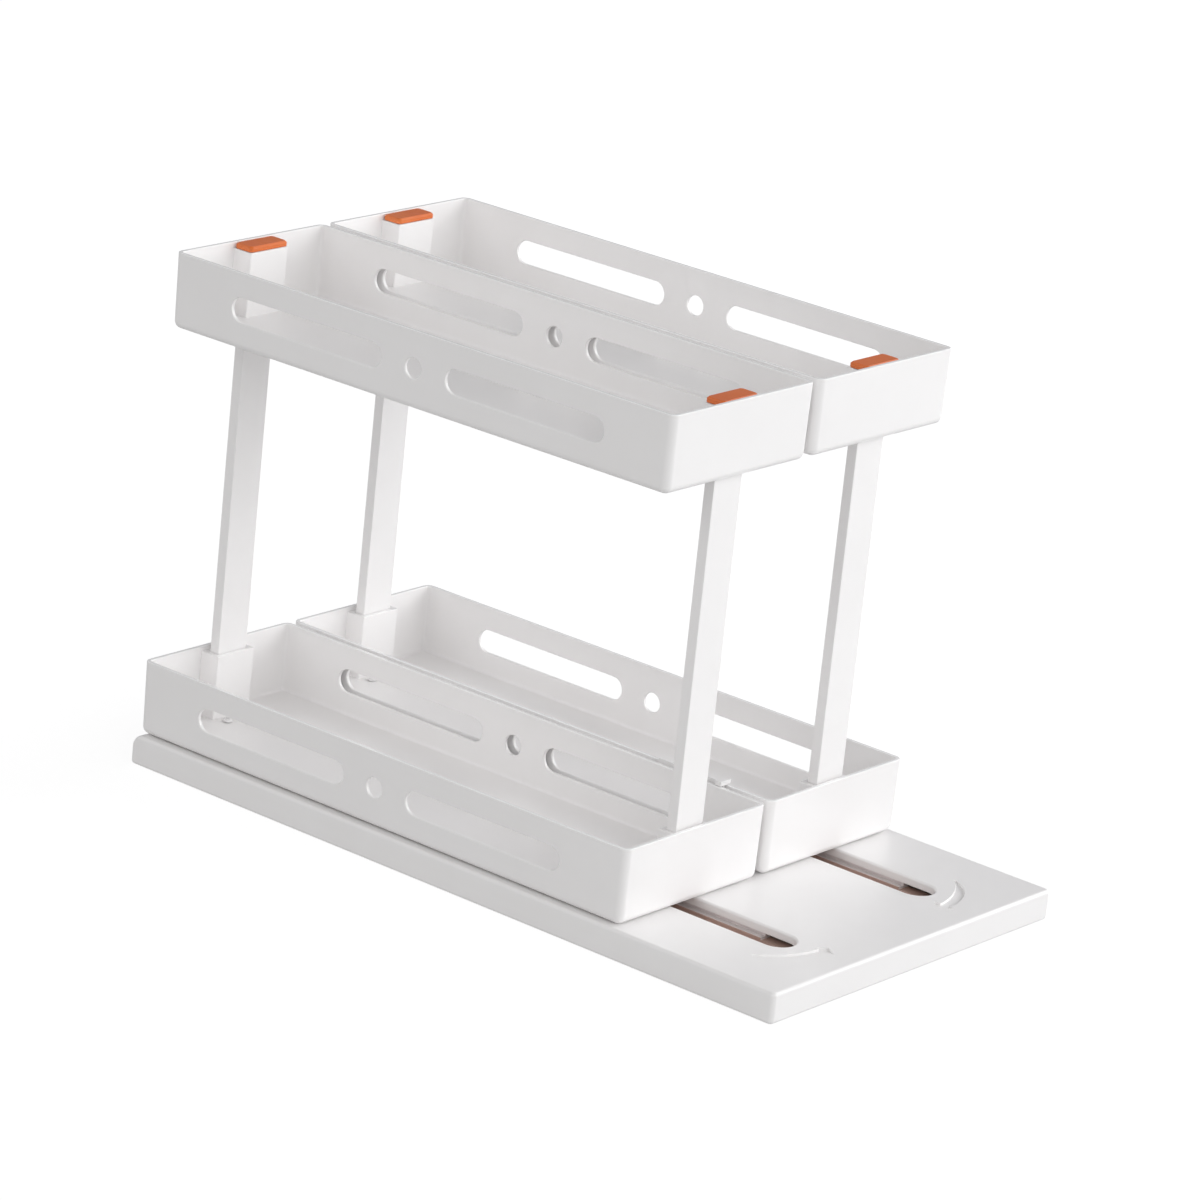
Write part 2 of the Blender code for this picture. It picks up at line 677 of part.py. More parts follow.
def glide_pad_places():
    """Return the places of a lower tray's glide pads, measured from the turning axis."""
    side = TRAY_WIDTH / 2 - GLIDE_SIDE_INSET
    end = TRAY_LENGTH / 2 - GLIDE_END_INSET
    return [(x, y) for x in (-side, side) for y in (TRAY_CENTRE - end, TRAY_CENTRE + end)]


def glide_pad_mesh():
    """Return one pad on which a lower tray glides over the base plate."""
    return prism("glide_pad", circle_outline(GLIDE_RADIUS), DISC_BOTTOM, DISC_TOP)


def rim_clip_mesh():
    """Return the clip that straddles the inner rim and reaches over the gap."""
    outside = -TRAY_WIDTH / 2 - GAP
    inside = -TRAY_WIDTH / 2 + TRAY_WALL + 2 * GAP
    under = LOWER_RIM + GAP
    over = under + CLIP_THICKNESS
    foot = LOWER_RIM - CLIP_LEG
    section = [(outside - CLIP_THICKNESS, foot), (outside, foot), (outside, under), (inside, under),
               (inside, foot), (inside + CLIP_THICKNESS, foot), (inside + CLIP_THICKNESS, over),
               (outside - CLIP_THICKNESS, over)]
    front = TRAY_CENTRE - TRAY_LENGTH / 2 + CLIP_FRONT_INSET
    body = lengthwise_prism("rim_clip", section, front, front + CLIP_LENGTH)
    far_side = outside - CLIP_THICKNESS - CADDY_GAP
    tab_outline = [(far_side, under), (outside, under), (inside, under + CLIP_THICKNESS / 2),
                   (inside, over + CLIP_TAB_RISE), (far_side, over + CLIP_TAB_RISE)]
    tab = lengthwise_prism("clip_tab", tab_outline, front - OVERRUN, front + CLIP_TAB_LENGTH)
    return join(body, [tab])


def place_each(name, mesh, make, spots, parent=None):
    """Add one numbered copy of a piece at each plan position."""
    for number, spot in enumerate(spots, start=1):
        own_name = name + "_" + str(number)
        place(own_name, mesh, make(own_name + "_material"), parent, spot)


def build_base():
    """Add the pieces that stay on the shelf."""
    place("base_cover", base_cover_mesh(), white_plastic("base_cover_material"))
    place("base_bottom_plate", base_bottom_mesh(), white_plastic("base_bottom_plate_material"))
    place_each("base_screw", base_screw_mesh(), screw_steel, base_screw_places())
    place_each("base_pad", base_pad_mesh(), pad_rubber, pad_places())
    track = track_mesh()
    for side, sign in SIDES.items():
        name = side + "_track"
        place(name, track, track_plastic(name + "_material"), spot=(sign * CADDY_X, 0.0))


def turning_pieces():
    """Return the single pieces of one turning caddy as (mesh, material) pairs."""
    pieces = {
        "turning_disc": (turning_disc_mesh(), slider_plastic),
        "pivot_washer": (pivot_washer_mesh(), screw_steel),
        "pivot_screw": (pivot_screw_mesh(), screw_steel),
        "lower_tray": (lower_tray_mesh(), white_plastic),
        "upper_tray": (upper_tray_mesh(), white_plastic),
    }
    for end, spot in post_places().items():
        pieces[end + "_post"] = (post_mesh(spot), white_plastic)
        pieces[end + "_cap"] = (cap_mesh(spot), orange_plastic)
    return pieces


def build_caddies():
    """Add a slider and a turning caddy on each side."""
    pieces = turning_pieces()
    slider = slider_mesh()
    disc_screw = disc_screw_mesh()
    glide_pad = glide_pad_mesh()
    for side, sign in SIDES.items():
        slide_axis = make_empty(side + "_slide_axis", (sign * CADDY_X, PIVOT_Y, 0.0))
        turning_axis = make_empty(side + "_turning_axis", (0.0, 0.0, 0.0), slide_axis)
        place(side + "_slider", slider, slider_plastic(side + "_slider_material"), slide_axis)
        for piece, (mesh, make) in pieces.items():
            name = side + "_" + piece
            place(name, mesh, make(name + "_material"), turning_axis)
        place_each(side + "_disc_screw", disc_screw, screw_enamel, disc_screw_places(), turning_axis)
        place_each(side + "_glide_pad", glide_pad, slider_plastic, glide_pad_places(), turning_axis)
        if side == "right":
            place("right_rim_clip", rim_clip_mesh(), white_plastic("right_rim_clip_material"), turning_axis)


def main():
    clear_scene()
    build_base()
    build_caddies()
    bpy.context.view_layer.update()


main()
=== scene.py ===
"""Looks of the pull-out spice rack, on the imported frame.

Every moulded piece that can be seen is made again here with fine facets and
soft edges, in the place of its node, and gets a procedural finish. The sizes
are those of the solids, in metres, +Z up, the front towards -Y. Only the
corners of the base plate are a little crisper than the solid's.
"""

from math import cos, hypot, pi, radians, sin, sqrt

import bmesh
import bpy
from mathutils import Matrix, Vector


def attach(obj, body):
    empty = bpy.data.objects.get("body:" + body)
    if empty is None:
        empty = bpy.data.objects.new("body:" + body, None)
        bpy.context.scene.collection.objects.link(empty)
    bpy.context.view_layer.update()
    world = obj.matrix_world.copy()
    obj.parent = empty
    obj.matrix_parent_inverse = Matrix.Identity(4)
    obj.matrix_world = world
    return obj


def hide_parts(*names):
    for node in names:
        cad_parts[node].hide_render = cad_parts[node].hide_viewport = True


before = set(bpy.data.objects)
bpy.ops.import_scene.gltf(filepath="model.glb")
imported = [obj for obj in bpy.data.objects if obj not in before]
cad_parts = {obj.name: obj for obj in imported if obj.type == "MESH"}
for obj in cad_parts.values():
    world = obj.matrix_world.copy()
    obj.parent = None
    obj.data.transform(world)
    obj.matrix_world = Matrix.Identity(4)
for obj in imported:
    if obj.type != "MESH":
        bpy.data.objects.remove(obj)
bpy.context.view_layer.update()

# Clearances
GAP = 0.0003
OVERRUN = 0.0010

# Base plate
PLATE_WIDTH = 0.1815
PLATE_LENGTH = 0.3425
PLATE_HEIGHT = 0.0130
PLATE_CORNER_RADIUS = 0.0022
PLATE_EDGE_RADIUS = 0.0016
PLATE_BACK_RADIUS = 0.0055
PLATE_FOOT_RADIUS = 0.0015
COVER_WALL = 0.0022
COVER_TOP = 0.0034
BOTTOM_THICKNESS = 0.0020

# Slots in the base plate, and the turning marks round their front ends
SLOT_WIDTH = 0.0150
SLOT_FRONT_MARGIN = 0.0267
MARK_CENTRE_INSIDE = 0.0047
MARK_CENTRE_BEHIND = 0.0085
MARK_RADIUS = 0.0288
MARK_WIDTH = 0.0046
MARK_DEPTH = 0.0009
MARK_HEAD_HALF_WIDTH = 0.0050
MARK_START = radians(-26)
MARK_NECK = radians(-92)
MARK_TIP = radians(-101)
MARK_SWELL_START_SHARE = 0.04
MARK_SWELL_SPAN_SHARE = 0.62
MARK_SWELL_POWER = 0.8

# Tracks under the slots
TRACK_SIDE = 0.0034
TRACK_FLOOR = 0.0012
TRACK_GROOVE = 0.0130
TRACK_FRONT_STEP = 0.0206
TRACK_FRONT_DROP = 0.0010

# Trays
TRAY_WIDTH = 0.0874
TRAY_LENGTH = 0.2620
TRAY_HEIGHT = 0.0319
TRAY_DRAFT = 0.0004
TRAY_WALL = 0.0018
TRAY_FLOOR = 0.0020
TRAY_CORNER_RADIUS = 0.0034
TRAY_FOOT_RADIUS = 0.0032
TRAY_INNER_RADIUS = 0.0014
TRAY_SPACING = 0.1755
CADDY_GAP = 0.0030
CADDY_BACK_MARGIN = 0.0018
CADDY_LIFT = 0.0006
SEAT_DEPTH = 0.0010

# Openings in the long walls of the trays
WINDOW_HEIGHT = 0.0102
WINDOW_LENGTH = 0.0812
WINDOW_LEVEL = 0.0166
EYELET_DIAMETER = 0.0086
EYELET_TO_WINDOW = 0.0125

# Post sockets, posts and caps
LOWER_BOSS_DROP = 0.0018
UPPER_BOSS_DROP = 0.0026
BOSS_CORNER_RADIUS = 0.0006
POST_WIDTH = 0.0170
POST_DEPTH = 0.0048
POST_CORNER_RADIUS = 0.0004
CAP_WIDTH = 0.0220
CAP_DEPTH = 0.0094
CAP_THICKNESS = 0.0022
CAP_CORNER_RADIUS = 0.0016
CAP_CHAMFER = 0.0007
CAP_PLUG_LENGTH = 0.0050

# Slider, turning disc and the screws through the tray floor
PIVOT_INSET = 0.0120
SLIDER_WIDTH = 0.0186
SLIDER_AHEAD = 0.0180
SLIDER_BEHIND = 0.0085
SLIDER_THICKNESS = 0.0014
SLIDER_CORNER_RADIUS = 0.0020
SLIDER_NECK_GAP = 0.0004
DISC_RADIUS = 0.0112
SPIGOT_RADIUS = 0.0030
SPIGOT_BORE_RADIUS = 0.0019
SPIGOT_BORE_DEPTH = 0.0045
DISC_SCREW_SPREAD = 0.0070
DISC_SCREW_AHEAD = 0.0040
DISC_SCREW_RADIUS = 0.0010
DISC_SCREW_HEAD_RADIUS = 0.0022
DISC_SCREW_HEAD_HEIGHT = 0.0012

# Glide pads between each lower tray and the base plate
GLIDE_RADIUS = 0.0045
GLIDE_SIDE_INSET = 0.0120
GLIDE_END_INSET = 0.0300
GLIDE_EDGE_RADIUS = 0.0003

# Screws and pads of the base plate
BASE_SCREW_RADIUS = 0.0011
BASE_SCREW_HEAD_RADIUS = 0.0024
BASE_SCREW_HEAD_HEIGHT = 0.0010
BASE_SCREW_SIDE_INSET = 0.0120
BASE_SCREW_END_INSET = 0.0180
BASE_POST_RADIUS = 0.0035
PAD_WIDTH = 0.0180
PAD_LENGTH = 0.0420
PAD_THICKNESS = 0.0006
PAD_SIDE_INSET = 0.0400
PAD_END_INSET = 0.0400
PAD_CORNER_RADIUS = 0.0040
PAD_RIB_DEPTH = 0.00015
PAD_RIB_PITCH = 0.0021
PAD_RIB_WIDTH = 0.0009

# Clip on the inner rim of the right lower tray
CLIP_LENGTH = 0.0340
CLIP_FRONT_INSET = 0.0240
CLIP_THICKNESS = 0.0009
CLIP_LEG = 0.0040
CLIP_TAB_LENGTH = 0.0022
CLIP_TAB_RISE = 0.0010

# Cross recess of the screws
RECESS_WIDTH_SHARE = 0.22
RECESS_REACH_SHARE = 0.62
RECESS_DEPTH_SHARE = 0.55
SCREW_CROWN_SHARE = 0.72

# Width over corner radius of narrow recesses and grooves
BAR_WIDTH_TO_RADIUS = 3

# Soft edges of the mouldings
RIM_ROUND = 0.0003
WINDOW_EDGE = 0.00045
SLOT_EDGE = 0.0010
SOCKET_EDGE = 0.00020
BOSS_EDGE = 0.00035
SMALL_EDGE = 0.00015
MARK_EDGE = 0.00030

# Facets of round forms
CORNER_STEPS = 10
FINE_STEPS = 5
FOOT_STEPS = 8
EDGE_STEPS = 4
ROUND_STEPS = 48
END_STEPS = 16
MARK_STEPS = 28
EDGE_START = radians(12)
CREASE_ANGLE = radians(32)
BEVEL_ANGLE = radians(40)
BEVEL_SEGMENTS = 3
LEVEL_DIGITS = 6
MITRE_LIMIT = 2.2

# Heights worked out from the sizes above
COVER_UNDERSIDE = PLATE_HEIGHT - COVER_TOP
TRACK_BOTTOM = BOTTOM_THICKNESS + GAP
TRACK_TOP = COVER_UNDERSIDE - GAP
SLIDER_TOP = COVER_UNDERSIDE - GAP
SLIDER_BOTTOM = SLIDER_TOP - SLIDER_THICKNESS
TRACK_LEDGE = SLIDER_BOTTOM - GAP
TRAY_BOTTOM = PLATE_HEIGHT + CADDY_LIFT
FLOOR_TOP = TRAY_BOTTOM + TRAY_FLOOR
LOWER_RIM = TRAY_BOTTOM + TRAY_HEIGHT
UPPER_BOTTOM = TRAY_BOTTOM + TRAY_SPACING
UPPER_RIM = UPPER_BOTTOM + TRAY_HEIGHT
CAP_BOTTOM = UPPER_RIM - UPPER_BOSS_DROP + GAP
DISC_BOTTOM = PLATE_HEIGHT + GAP
SEAT_TOP = TRAY_BOTTOM + SEAT_DEPTH
DISC_TOP = SEAT_TOP - GAP

# Places along the rack
POST_INSET = TRAY_WALL + GAP + CAP_DEPTH / 2
BOSS_DEPTH = POST_INSET + CAP_DEPTH / 2
CADDY_X = (TRAY_WIDTH + CADDY_GAP) / 2
CADDY_BACK = PLATE_LENGTH / 2 - CADDY_BACK_MARGIN
PIVOT_Y = CADDY_BACK - PIVOT_INSET
TRAY_CENTRE = CADDY_BACK - TRAY_LENGTH / 2
SLOT_FRONT = -PLATE_LENGTH / 2 + SLOT_FRONT_MARGIN
SLOT_BACK = PIVOT_Y + SLOT_WIDTH / 2
TRACK_FRONT = SLOT_FRONT + TRACK_FRONT_STEP
TRACK_BACK = PLATE_LENGTH / 2 - COVER_WALL - GAP
SIDES = {"left": -1, "right": 1}

# Colours, as linear values
WHITE = (0.922, 0.908, 0.904)
WHITE_DEEP = (0.908, 0.893, 0.888)
# Painted highlight: a whiter white for the trays' rims, brighter than the trays' own white
RIM_PAINTED_HIGHLIGHT = (0.975, 0.968, 0.966)
RIM_PAINTED_HIGHLIGHT_DEEP = (0.960, 0.952, 0.950)
ORANGE = (0.800, 0.200, 0.048)
ORANGE_DEEP = (0.740, 0.160, 0.034)
TRACK_BROWN = (0.840, 0.785, 0.775)
TRACK_DEEP = (0.805, 0.750, 0.740)
# Painted shade: a dark brown for the base plate's inside and the tracks' grooves, standing in for the
# shade in the hollow under the slots
PAINTED_SHADE_BROWN = (0.540, 0.380, 0.320)
PAINTED_SHADE_DEEP = (0.500, 0.345, 0.290)
SLIDER_GREY = (0.620, 0.610, 0.600)
SLIDER_DEEP = (0.560, 0.550, 0.540)
RUBBER_GREY = (0.300, 0.300, 0.310)
RUBBER_DEEP = (0.240, 0.240, 0.250)
STEEL_LIGHT = (0.660, 0.655, 0.650)
STEEL_DARK = (0.480, 0.478, 0.480)
ENAMEL = (0.860, 0.850, 0.850)
ENAMEL_DEEP = (0.835, 0.825, 0.825)

# Noise of the finishes: scale per metre, detail, roughness and distortion
FLOW_NOISE = (26.0, 4.0, 0.55, 0.6)
SHEEN_NOISE = (190.0, 3.0, 0.6, 0.0)
GRAIN_NOISE = (2600.0, 2.0, 0.6, 0.0)
WAVE_NOISE = (60.0, 1.0, 0.4, 0.0)
DUST_NOISE = (320.0, 5.0, 0.7, 0.0)
RUBBER_NOISE = (2600.0, 3.0, 0.7, 0.0)
BLOOM_NOISE = (900.0, 4.0, 0.6, 1.0)
SCRATCH_NOISE = (5200.0, 2.0, 0.7, 2.0)
MOTTLE_RANGE = (0.35, 0.65)
WHOLE_RANGE = (0.0, 1.0)

# Relief of the finishes: depth in metres and strength
GRAIN_DEPTH = 0.00002
RUBBER_DEPTH = 0.00004
WAVE_DEPTH = 0.0004
WAVE_STRENGTH = 0.04
WHITE_GRAIN = 0.22
ORANGE_GRAIN = 0.18
RUBBER_GRAIN = 0.60
STEEL_GRAIN = 0.30

# Sheen of the finishes: lowest and highest roughness
WHITE_SATIN = (0.30, 0.38)
RIM_SATIN = (0.18, 0.26)
ORANGE_SATIN = (0.28, 0.36)
TRACK_SATIN = (0.42, 0.52)
RUBBER_SATIN = (0.72, 0.90)
STEEL_SATIN = (0.22, 0.38)
ENAMEL_SATIN = (0.30, 0.38)
PLASTIC_IOR = 1.50

# Camera of the photograph
CAMERA_PLACE = (-1.6344, -1.2814, 0.7881)
CAMERA_AZIMUTH = radians(-51.825)
CAMERA_ELEVATION = radians(18.235)
CAMERA_ROLL = radians(6.012)
CAMERA_LENS = 162.13
SENSOR_WIDTH = 36.0

# Studio
FLOOR_HALF_WIDTH = 9.0
FLOOR_DROP = 0.0002
FLOOR_COLOUR = (0.35, 0.35, 0.35)
FLOOR_LIFT = 0.26
FLOOR_SEEN_COLOUR = (0.26, 0.26, 0.26)
FLOOR_GLOW = 0.84
BACKDROP = (1.0, 1.0, 1.0)
SKY_STOPS = [(0.0, 0.06), (0.2, 0.69), (0.45, 1.36), (0.75, 0.60), (1.0, 0.05)]
SHADE_SIDE = (0.786, 0.618, 0.0)
SHADE_SPAN = (0.35, 0.85)
SHADE_COLOUR = (0.22, 0.22, 0.24)
LAMPS = {
    "key": ((0.90, -0.30, 0.25), 23.5),
    "front": ((0.15, -0.95, 0.22), 7.5),
    "fill": ((0.54, -0.74, 0.40), 6.6),
    "left": ((-0.60, -0.70, 0.40), 2.4),
}
LAMP_COLOUR = (0.97, 0.985, 1.0)
LAMP_DISTANCE = 2.2
LAMP_SIZE = 1.5
AIM_POINT = (0.0, 0.0, 0.09)


def arc(centre, radius, start, end, steps):
    """Return points on an arc as (first, second) pairs, both ends included."""
    points = []
    for index in range(steps + 1):
        angle = start + (end - start) * index / steps
        points.append((centre[0] + radius * cos(angle), centre[1] + radius * sin(angle)))
    return points


def rounded_outline(width, length, radius, centre=(0.0, 0.0), steps=CORNER_STEPS):
    """Return an anticlockwise rectangle with round corners."""
    half_width = width / 2 - radius
    half_length = length / 2 - radius
    points = []
    for quarter, (side, end) in enumerate([(1, 1), (-1, 1), (-1, -1), (1, -1)]):
        corner = (centre[0] + side * half_width, centre[1] + end * half_length)
        start = quarter * pi / 2
        points += arc(corner, radius, start, start + pi / 2, steps)
    return points


def circle_outline(radius, centre=(0.0, 0.0), steps=ROUND_STEPS):
    """Return an anticlockwise circle."""
    return arc(centre, radius, 0.0, 2 * pi * (steps - 1) / steps, steps - 1)


def capsule_outline(length, width, centre=(0.0, 0.0), steps=END_STEPS):
    """Return an anticlockwise slot with round ends, its length along the second axis."""
    reach = (length - width) / 2
    back = arc((centre[0], centre[1] + reach), width / 2, 0.0, pi, steps)
    front = arc((centre[0], centre[1] - reach), width / 2, pi, 2 * pi, steps)
    return back + front


def grown_outline(points, growth):
    """Push the points of an anticlockwise outline outward."""
    grown = []
    count = len(points)
    for index, (x, y) in enumerate(points):
        before = points[index - 1]
        after = points[(index + 1) % count]
        normals = []
        for start, end in ((before, (x, y)), ((x, y), after)):
            span = hypot(end[0] - start[0], end[1] - start[1])
            normals.append(((end[1] - start[1]) / span, (start[0] - end[0]) / span))
        total_x = normals[0][0] + normals[1][0]
        total_y = normals[0][1] + normals[1][1]
        size = hypot(total_x, total_y)
        mitre = min(2 / max(size, 1 / MITRE_LIMIT), MITRE_LIMIT)
        grown.append((x + total_x / size * growth * mitre, y + total_y / size * growth * mitre))
    return grown


def at_height(outline, level):
    """Lift a plan outline to one height."""
    return [Vector((x, y, level)) for x, y in outline]


def loft(name, rings):
    """Return a closed mesh through rings of equal count, capped at both ends."""
    shell = bmesh.new()
    loops = [[shell.verts.new(point) for point in ring] for ring in rings]
    count = len(loops[0])
    for lower, upper in zip(loops, loops[1:]):
        for index in range(count):
            after = (index + 1) % count
            shell.faces.new((lower[index], lower[after], upper[after], upper[index]))
    shell.faces.new(list(reversed(loops[0])))
    shell.faces.new(loops[-1])
    bmesh.ops.recalc_face_normals(shell, faces=shell.faces)
    mesh = bpy.data.meshes.new(name)
    shell.to_mesh(mesh)
    shell.free()
    return mesh


def prism(name, outline, bottom, top):
    """Return an upright prism on a plan outline."""
    return loft(name, [at_height(outline, bottom), at_height(outline, top)])


def stepped_pillar(name, sections):
    """Return a turned or stepped pillar from (outline, level) pairs."""
    return loft(name, [at_height(outline, level) for outline, level in sections])


def lengthwise_prism(name, outline, front, back):
    """Return a prism along Y on an outline given as (x, z) pairs."""
    near = [Vector((x, front, z)) for x, z in outline]
    far = [Vector((x, back, z)) for x, z in outline]
    return loft(name, [far, near])


def combine(body, others, operation):
    """Return the mesh of body after one boolean operation with each other mesh."""
    target = bpy.data.objects.new("combine_target", body)
    bpy.context.collection.objects.link(target)
    helpers = []
    for other in others:
        helper = bpy.data.objects.new("combine_helper", other)
        bpy.context.collection.objects.link(helper)
        helpers.append(helper)
        modifier = target.modifiers.new("combine", "BOOLEAN")
        modifier.operation = operation
        modifier.solver = "EXACT"
        modifier.object = helper
    bpy.context.view_layer.update()
    evaluated = target.evaluated_get(bpy.context.evaluated_depsgraph_get())
    result = bpy.data.meshes.new_from_object(evaluated)
    for item in [target] + helpers:
        bpy.data.objects.remove(item)
    return result


def cut(body, cutters):
    """Return the mesh of body less each cutter."""
    return combine(body, cutters, "DIFFERENCE")


def join(body, additions):
    """Return the mesh of body with each addition fused to it."""
    return combine(body, additions, "UNION")


def soft_edge(radius):
    """Return (depth, growth) pairs down the soft edge of an opening."""
    pairs = []
    for index in range(EDGE_STEPS + 1):
        angle = EDGE_START + (pi / 2 - EDGE_START) * index / EDGE_STEPS
        pairs.append((radius * (1 - cos(angle)), radius * (1 - sin(angle))))
    return pairs


def edge_inset(height_below_top, radius):
    """Return how far a rounded top edge has drawn in at a depth below the top."""
    if height_below_top >= radius:
        return 0.0
    rise = radius - height_below_top
    return radius - sqrt(radius * radius - rise * rise)


def quarter_levels(radius, steps):
    """Return the heights below a top edge at which its rounding is faceted."""
    return [radius * (1 - sin(pi / 2 * index / steps)) for index in range(steps + 1)]


def open_top_cutter(name, outline_at, top, edge, bottom):
    """Return a cutter from above whose opening has a soft top edge."""
    pairs = soft_edge(edge)
    rings = [at_height(outline_at(pairs[0][1]), top + OVERRUN)]
    rings += [at_height(outline_at(growth), top - depth) for depth, growth in pairs]
    rings.append(at_height(outline_at(0.0), bottom))
    return loft(name, list(reversed(rings)))


def soft_top_block(name, outline_at, bottom, top, edge, steps=EDGE_STEPS):
    """Return an upright block with a soft top edge; outline_at takes an inset."""
    rings = [at_height(outline_at(0.0), bottom)]
    for depth in quarter_levels(edge, steps):
        rings.append(at_height(outline_at(edge_inset(depth, edge)), top - depth))
    return loft(name, rings)


def plate_outline(level):
    """Return the outline of the base plate at one height."""
    foot = edge_inset(level, PLATE_FOOT_RADIUS)
    side = max(edge_inset(PLATE_HEIGHT - level, PLATE_EDGE_RADIUS), foot)
    back = max(edge_inset(PLATE_HEIGHT - level, PLATE_BACK_RADIUS), foot)
    length = PLATE_LENGTH - side - back
    centre = (0.0, (side - back) / 2)
    return rounded_outline(PLATE_WIDTH - 2 * side, length, PLATE_CORNER_RADIUS - side, centre)


def base_screw_places():
    """Return the plan positions of the screws that close the base plate."""
    side = PLATE_WIDTH / 2 - BASE_SCREW_SIDE_INSET
    end = PLATE_LENGTH / 2 - BASE_SCREW_END_INSET
    return [(x, y) for x in (-side, side) for y in (-end, 0.0, end)]


def pad_places():
    """Return the plan positions of the pads under the base plate."""
    side = PLATE_WIDTH / 2 - PAD_SIDE_INSET
    end = PLATE_LENGTH / 2 - PAD_END_INSET
    return [(x, y) for x in (-side, side) for y in (-end, end)]


def turning_mark(side):
    """Return the cutter of the shallow curved arrow beside one slot's front end."""
    centre_x = side * (CADDY_X - MARK_CENTRE_INSIDE)
    centre_y = SLOT_FRONT + SLOT_WIDTH / 2 + MARK_CENTRE_BEHIND
    outer = []
    inner = []
    for index in range(MARK_STEPS + 1):
        share = index / MARK_STEPS
        angle = MARK_START + (MARK_NECK - MARK_START) * share
        swell = sin(pi * (MARK_SWELL_START_SHARE + MARK_SWELL_SPAN_SHARE * share))
        width = MARK_WIDTH * swell ** MARK_SWELL_POWER
        outer.append((MARK_RADIUS, angle))
        inner.append((MARK_RADIUS - width, angle))
    middle = MARK_RADIUS - MARK_WIDTH / 2
    head = [(middle + MARK_HEAD_HALF_WIDTH, MARK_NECK), (middle, MARK_TIP),
            (middle - MARK_HEAD_HALF_WIDTH, MARK_NECK)]
    points = []
    for radius, angle in outer + head + list(reversed(inner)):
        points.append((centre_x + side * radius * cos(angle), centre_y + radius * sin(angle)))
    if side > 0:
        points.reverse()
    return open_top_cutter("turning_mark_cutter", lambda growth: grown_outline(points, growth),
                           PLATE_HEIGHT, MARK_EDGE, PLATE_HEIGHT - MARK_DEPTH)


def slot_cutter(side):
    """Return the cutter of one long slot, soft along its top edge."""
    length = SLOT_BACK - SLOT_FRONT
    centre = (side * CADDY_X, (SLOT_BACK + SLOT_FRONT) / 2)

    def outline_at(growth):
        return capsule_outline(length + 2 * growth, SLOT_WIDTH + 2 * growth, centre)
    return open_top_cutter("slot_cutter", outline_at, PLATE_HEIGHT, SLOT_EDGE, COVER_UNDERSIDE - OVERRUN)


def base_cover_mesh():
    """Return the top shell of the base plate, with both slots."""
    depths = quarter_levels(PLATE_EDGE_RADIUS, FOOT_STEPS)
    depths += quarter_levels(PLATE_BACK_RADIUS, CORNER_STEPS)
    levels = {round(PLATE_HEIGHT - depth, LEVEL_DIGITS) for depth in depths}
    levels |= {round(level, LEVEL_DIGITS) for level in quarter_levels(PLATE_FOOT_RADIUS, EDGE_STEPS)}
    body = loft("base_cover", [at_height(plate_outline(level), level) for level in sorted(levels)])
    cavity_outline = rounded_outline(PLATE_WIDTH - 2 * COVER_WALL, PLATE_LENGTH - 2 * COVER_WALL,
                                     PLATE_CORNER_RADIUS - COVER_WALL / 2)
    body = cut(body, [prism("cover_cavity", cavity_outline, -OVERRUN, COVER_UNDERSIDE)])
    posts = [prism("cover_post", circle_outline(BASE_POST_RADIUS, spot), TRACK_BOTTOM,
                   PLATE_HEIGHT - COVER_TOP / 2)
             for spot in base_screw_places()]
    body = join(body, posts)
    cutters = []
    for side in SIDES.values():
        cutters += [slot_cutter(side), turning_mark(side)]
    return cut(body, cutters)


def base_bottom_mesh():
    """Return the flat plate that closes the base from below, its top face marked for painted shade."""
    outline = rounded_outline(PLATE_WIDTH - 2 * (COVER_WALL + GAP), PLATE_LENGTH - 2 * (COVER_WALL + GAP),
                              PLATE_CORNER_RADIUS - COVER_WALL / 2)
    body = prism("base_bottom_plate", outline, 0.0, BOTTOM_THICKNESS)
    cutters = []
    for spot in base_screw_places():
        bore = circle_outline(BASE_SCREW_RADIUS + GAP, spot)
        recess = circle_outline(BASE_SCREW_HEAD_RADIUS + GAP, spot)
        cutters.append(prism("screw_bore", bore, -OVERRUN, BOTTOM_THICKNESS + OVERRUN))
        cutters.append(prism("screw_recess", recess, -OVERRUN, BASE_SCREW_HEAD_HEIGHT))
    for spot in pad_places():
        pocket = rounded_outline(PAD_WIDTH + 2 * GAP, PAD_LENGTH + 2 * GAP, PAD_CORNER_RADIUS + GAP, spot)
        cutters.append(prism("pad_pocket", pocket, -OVERRUN, PAD_THICKNESS + GAP))
    body = cut(body, cutters)
    # The top face inside the base takes the second finish, a brown that is painted shade
    for face in body.polygons:
        face.material_index = int(face.center.z > BOTTOM_THICKNESS - GAP)
    return body


def base_pad_mesh():
    """Return one pad of the underside, with cross grooves in its tread."""
    body = prism("base_pad", rounded_outline(PAD_WIDTH, PAD_LENGTH, PAD_CORNER_RADIUS), 0.0, PAD_THICKNESS)
    count = int(PAD_LENGTH / PAD_RIB_PITCH / 2 - 1)
    grooves = []
    for number in range(-count, count + 1):
        outline = rounded_outline(PAD_WIDTH - PAD_CORNER_RADIUS / 2, PAD_RIB_WIDTH,
                                  PAD_RIB_WIDTH / BAR_WIDTH_TO_RADIUS, (0.0, number * PAD_RIB_PITCH),
                                  FINE_STEPS)
        grooves.append(prism("pad_groove", outline, -OVERRUN, PAD_RIB_DEPTH))
    return cut(body, grooves)


def cross_recess(radius, height, start, direction):
    """Return the two bars of a cross recess that goes into a screw's head."""
    width = radius * RECESS_WIDTH_SHARE
    reach = 2 * radius * RECESS_REACH_SHARE
    corner = width / BAR_WIDTH_TO_RADIUS
    inner = start + direction * height * RECESS_DEPTH_SHARE
    outer = start - direction * OVERRUN
    bottom = min(inner, outer)
    top = max(inner, outer)
    bars = [rounded_outline(reach, width, corner), rounded_outline(width, reach, corner)]
    return [prism("recess_bar", bar, bottom, top) for bar in bars]


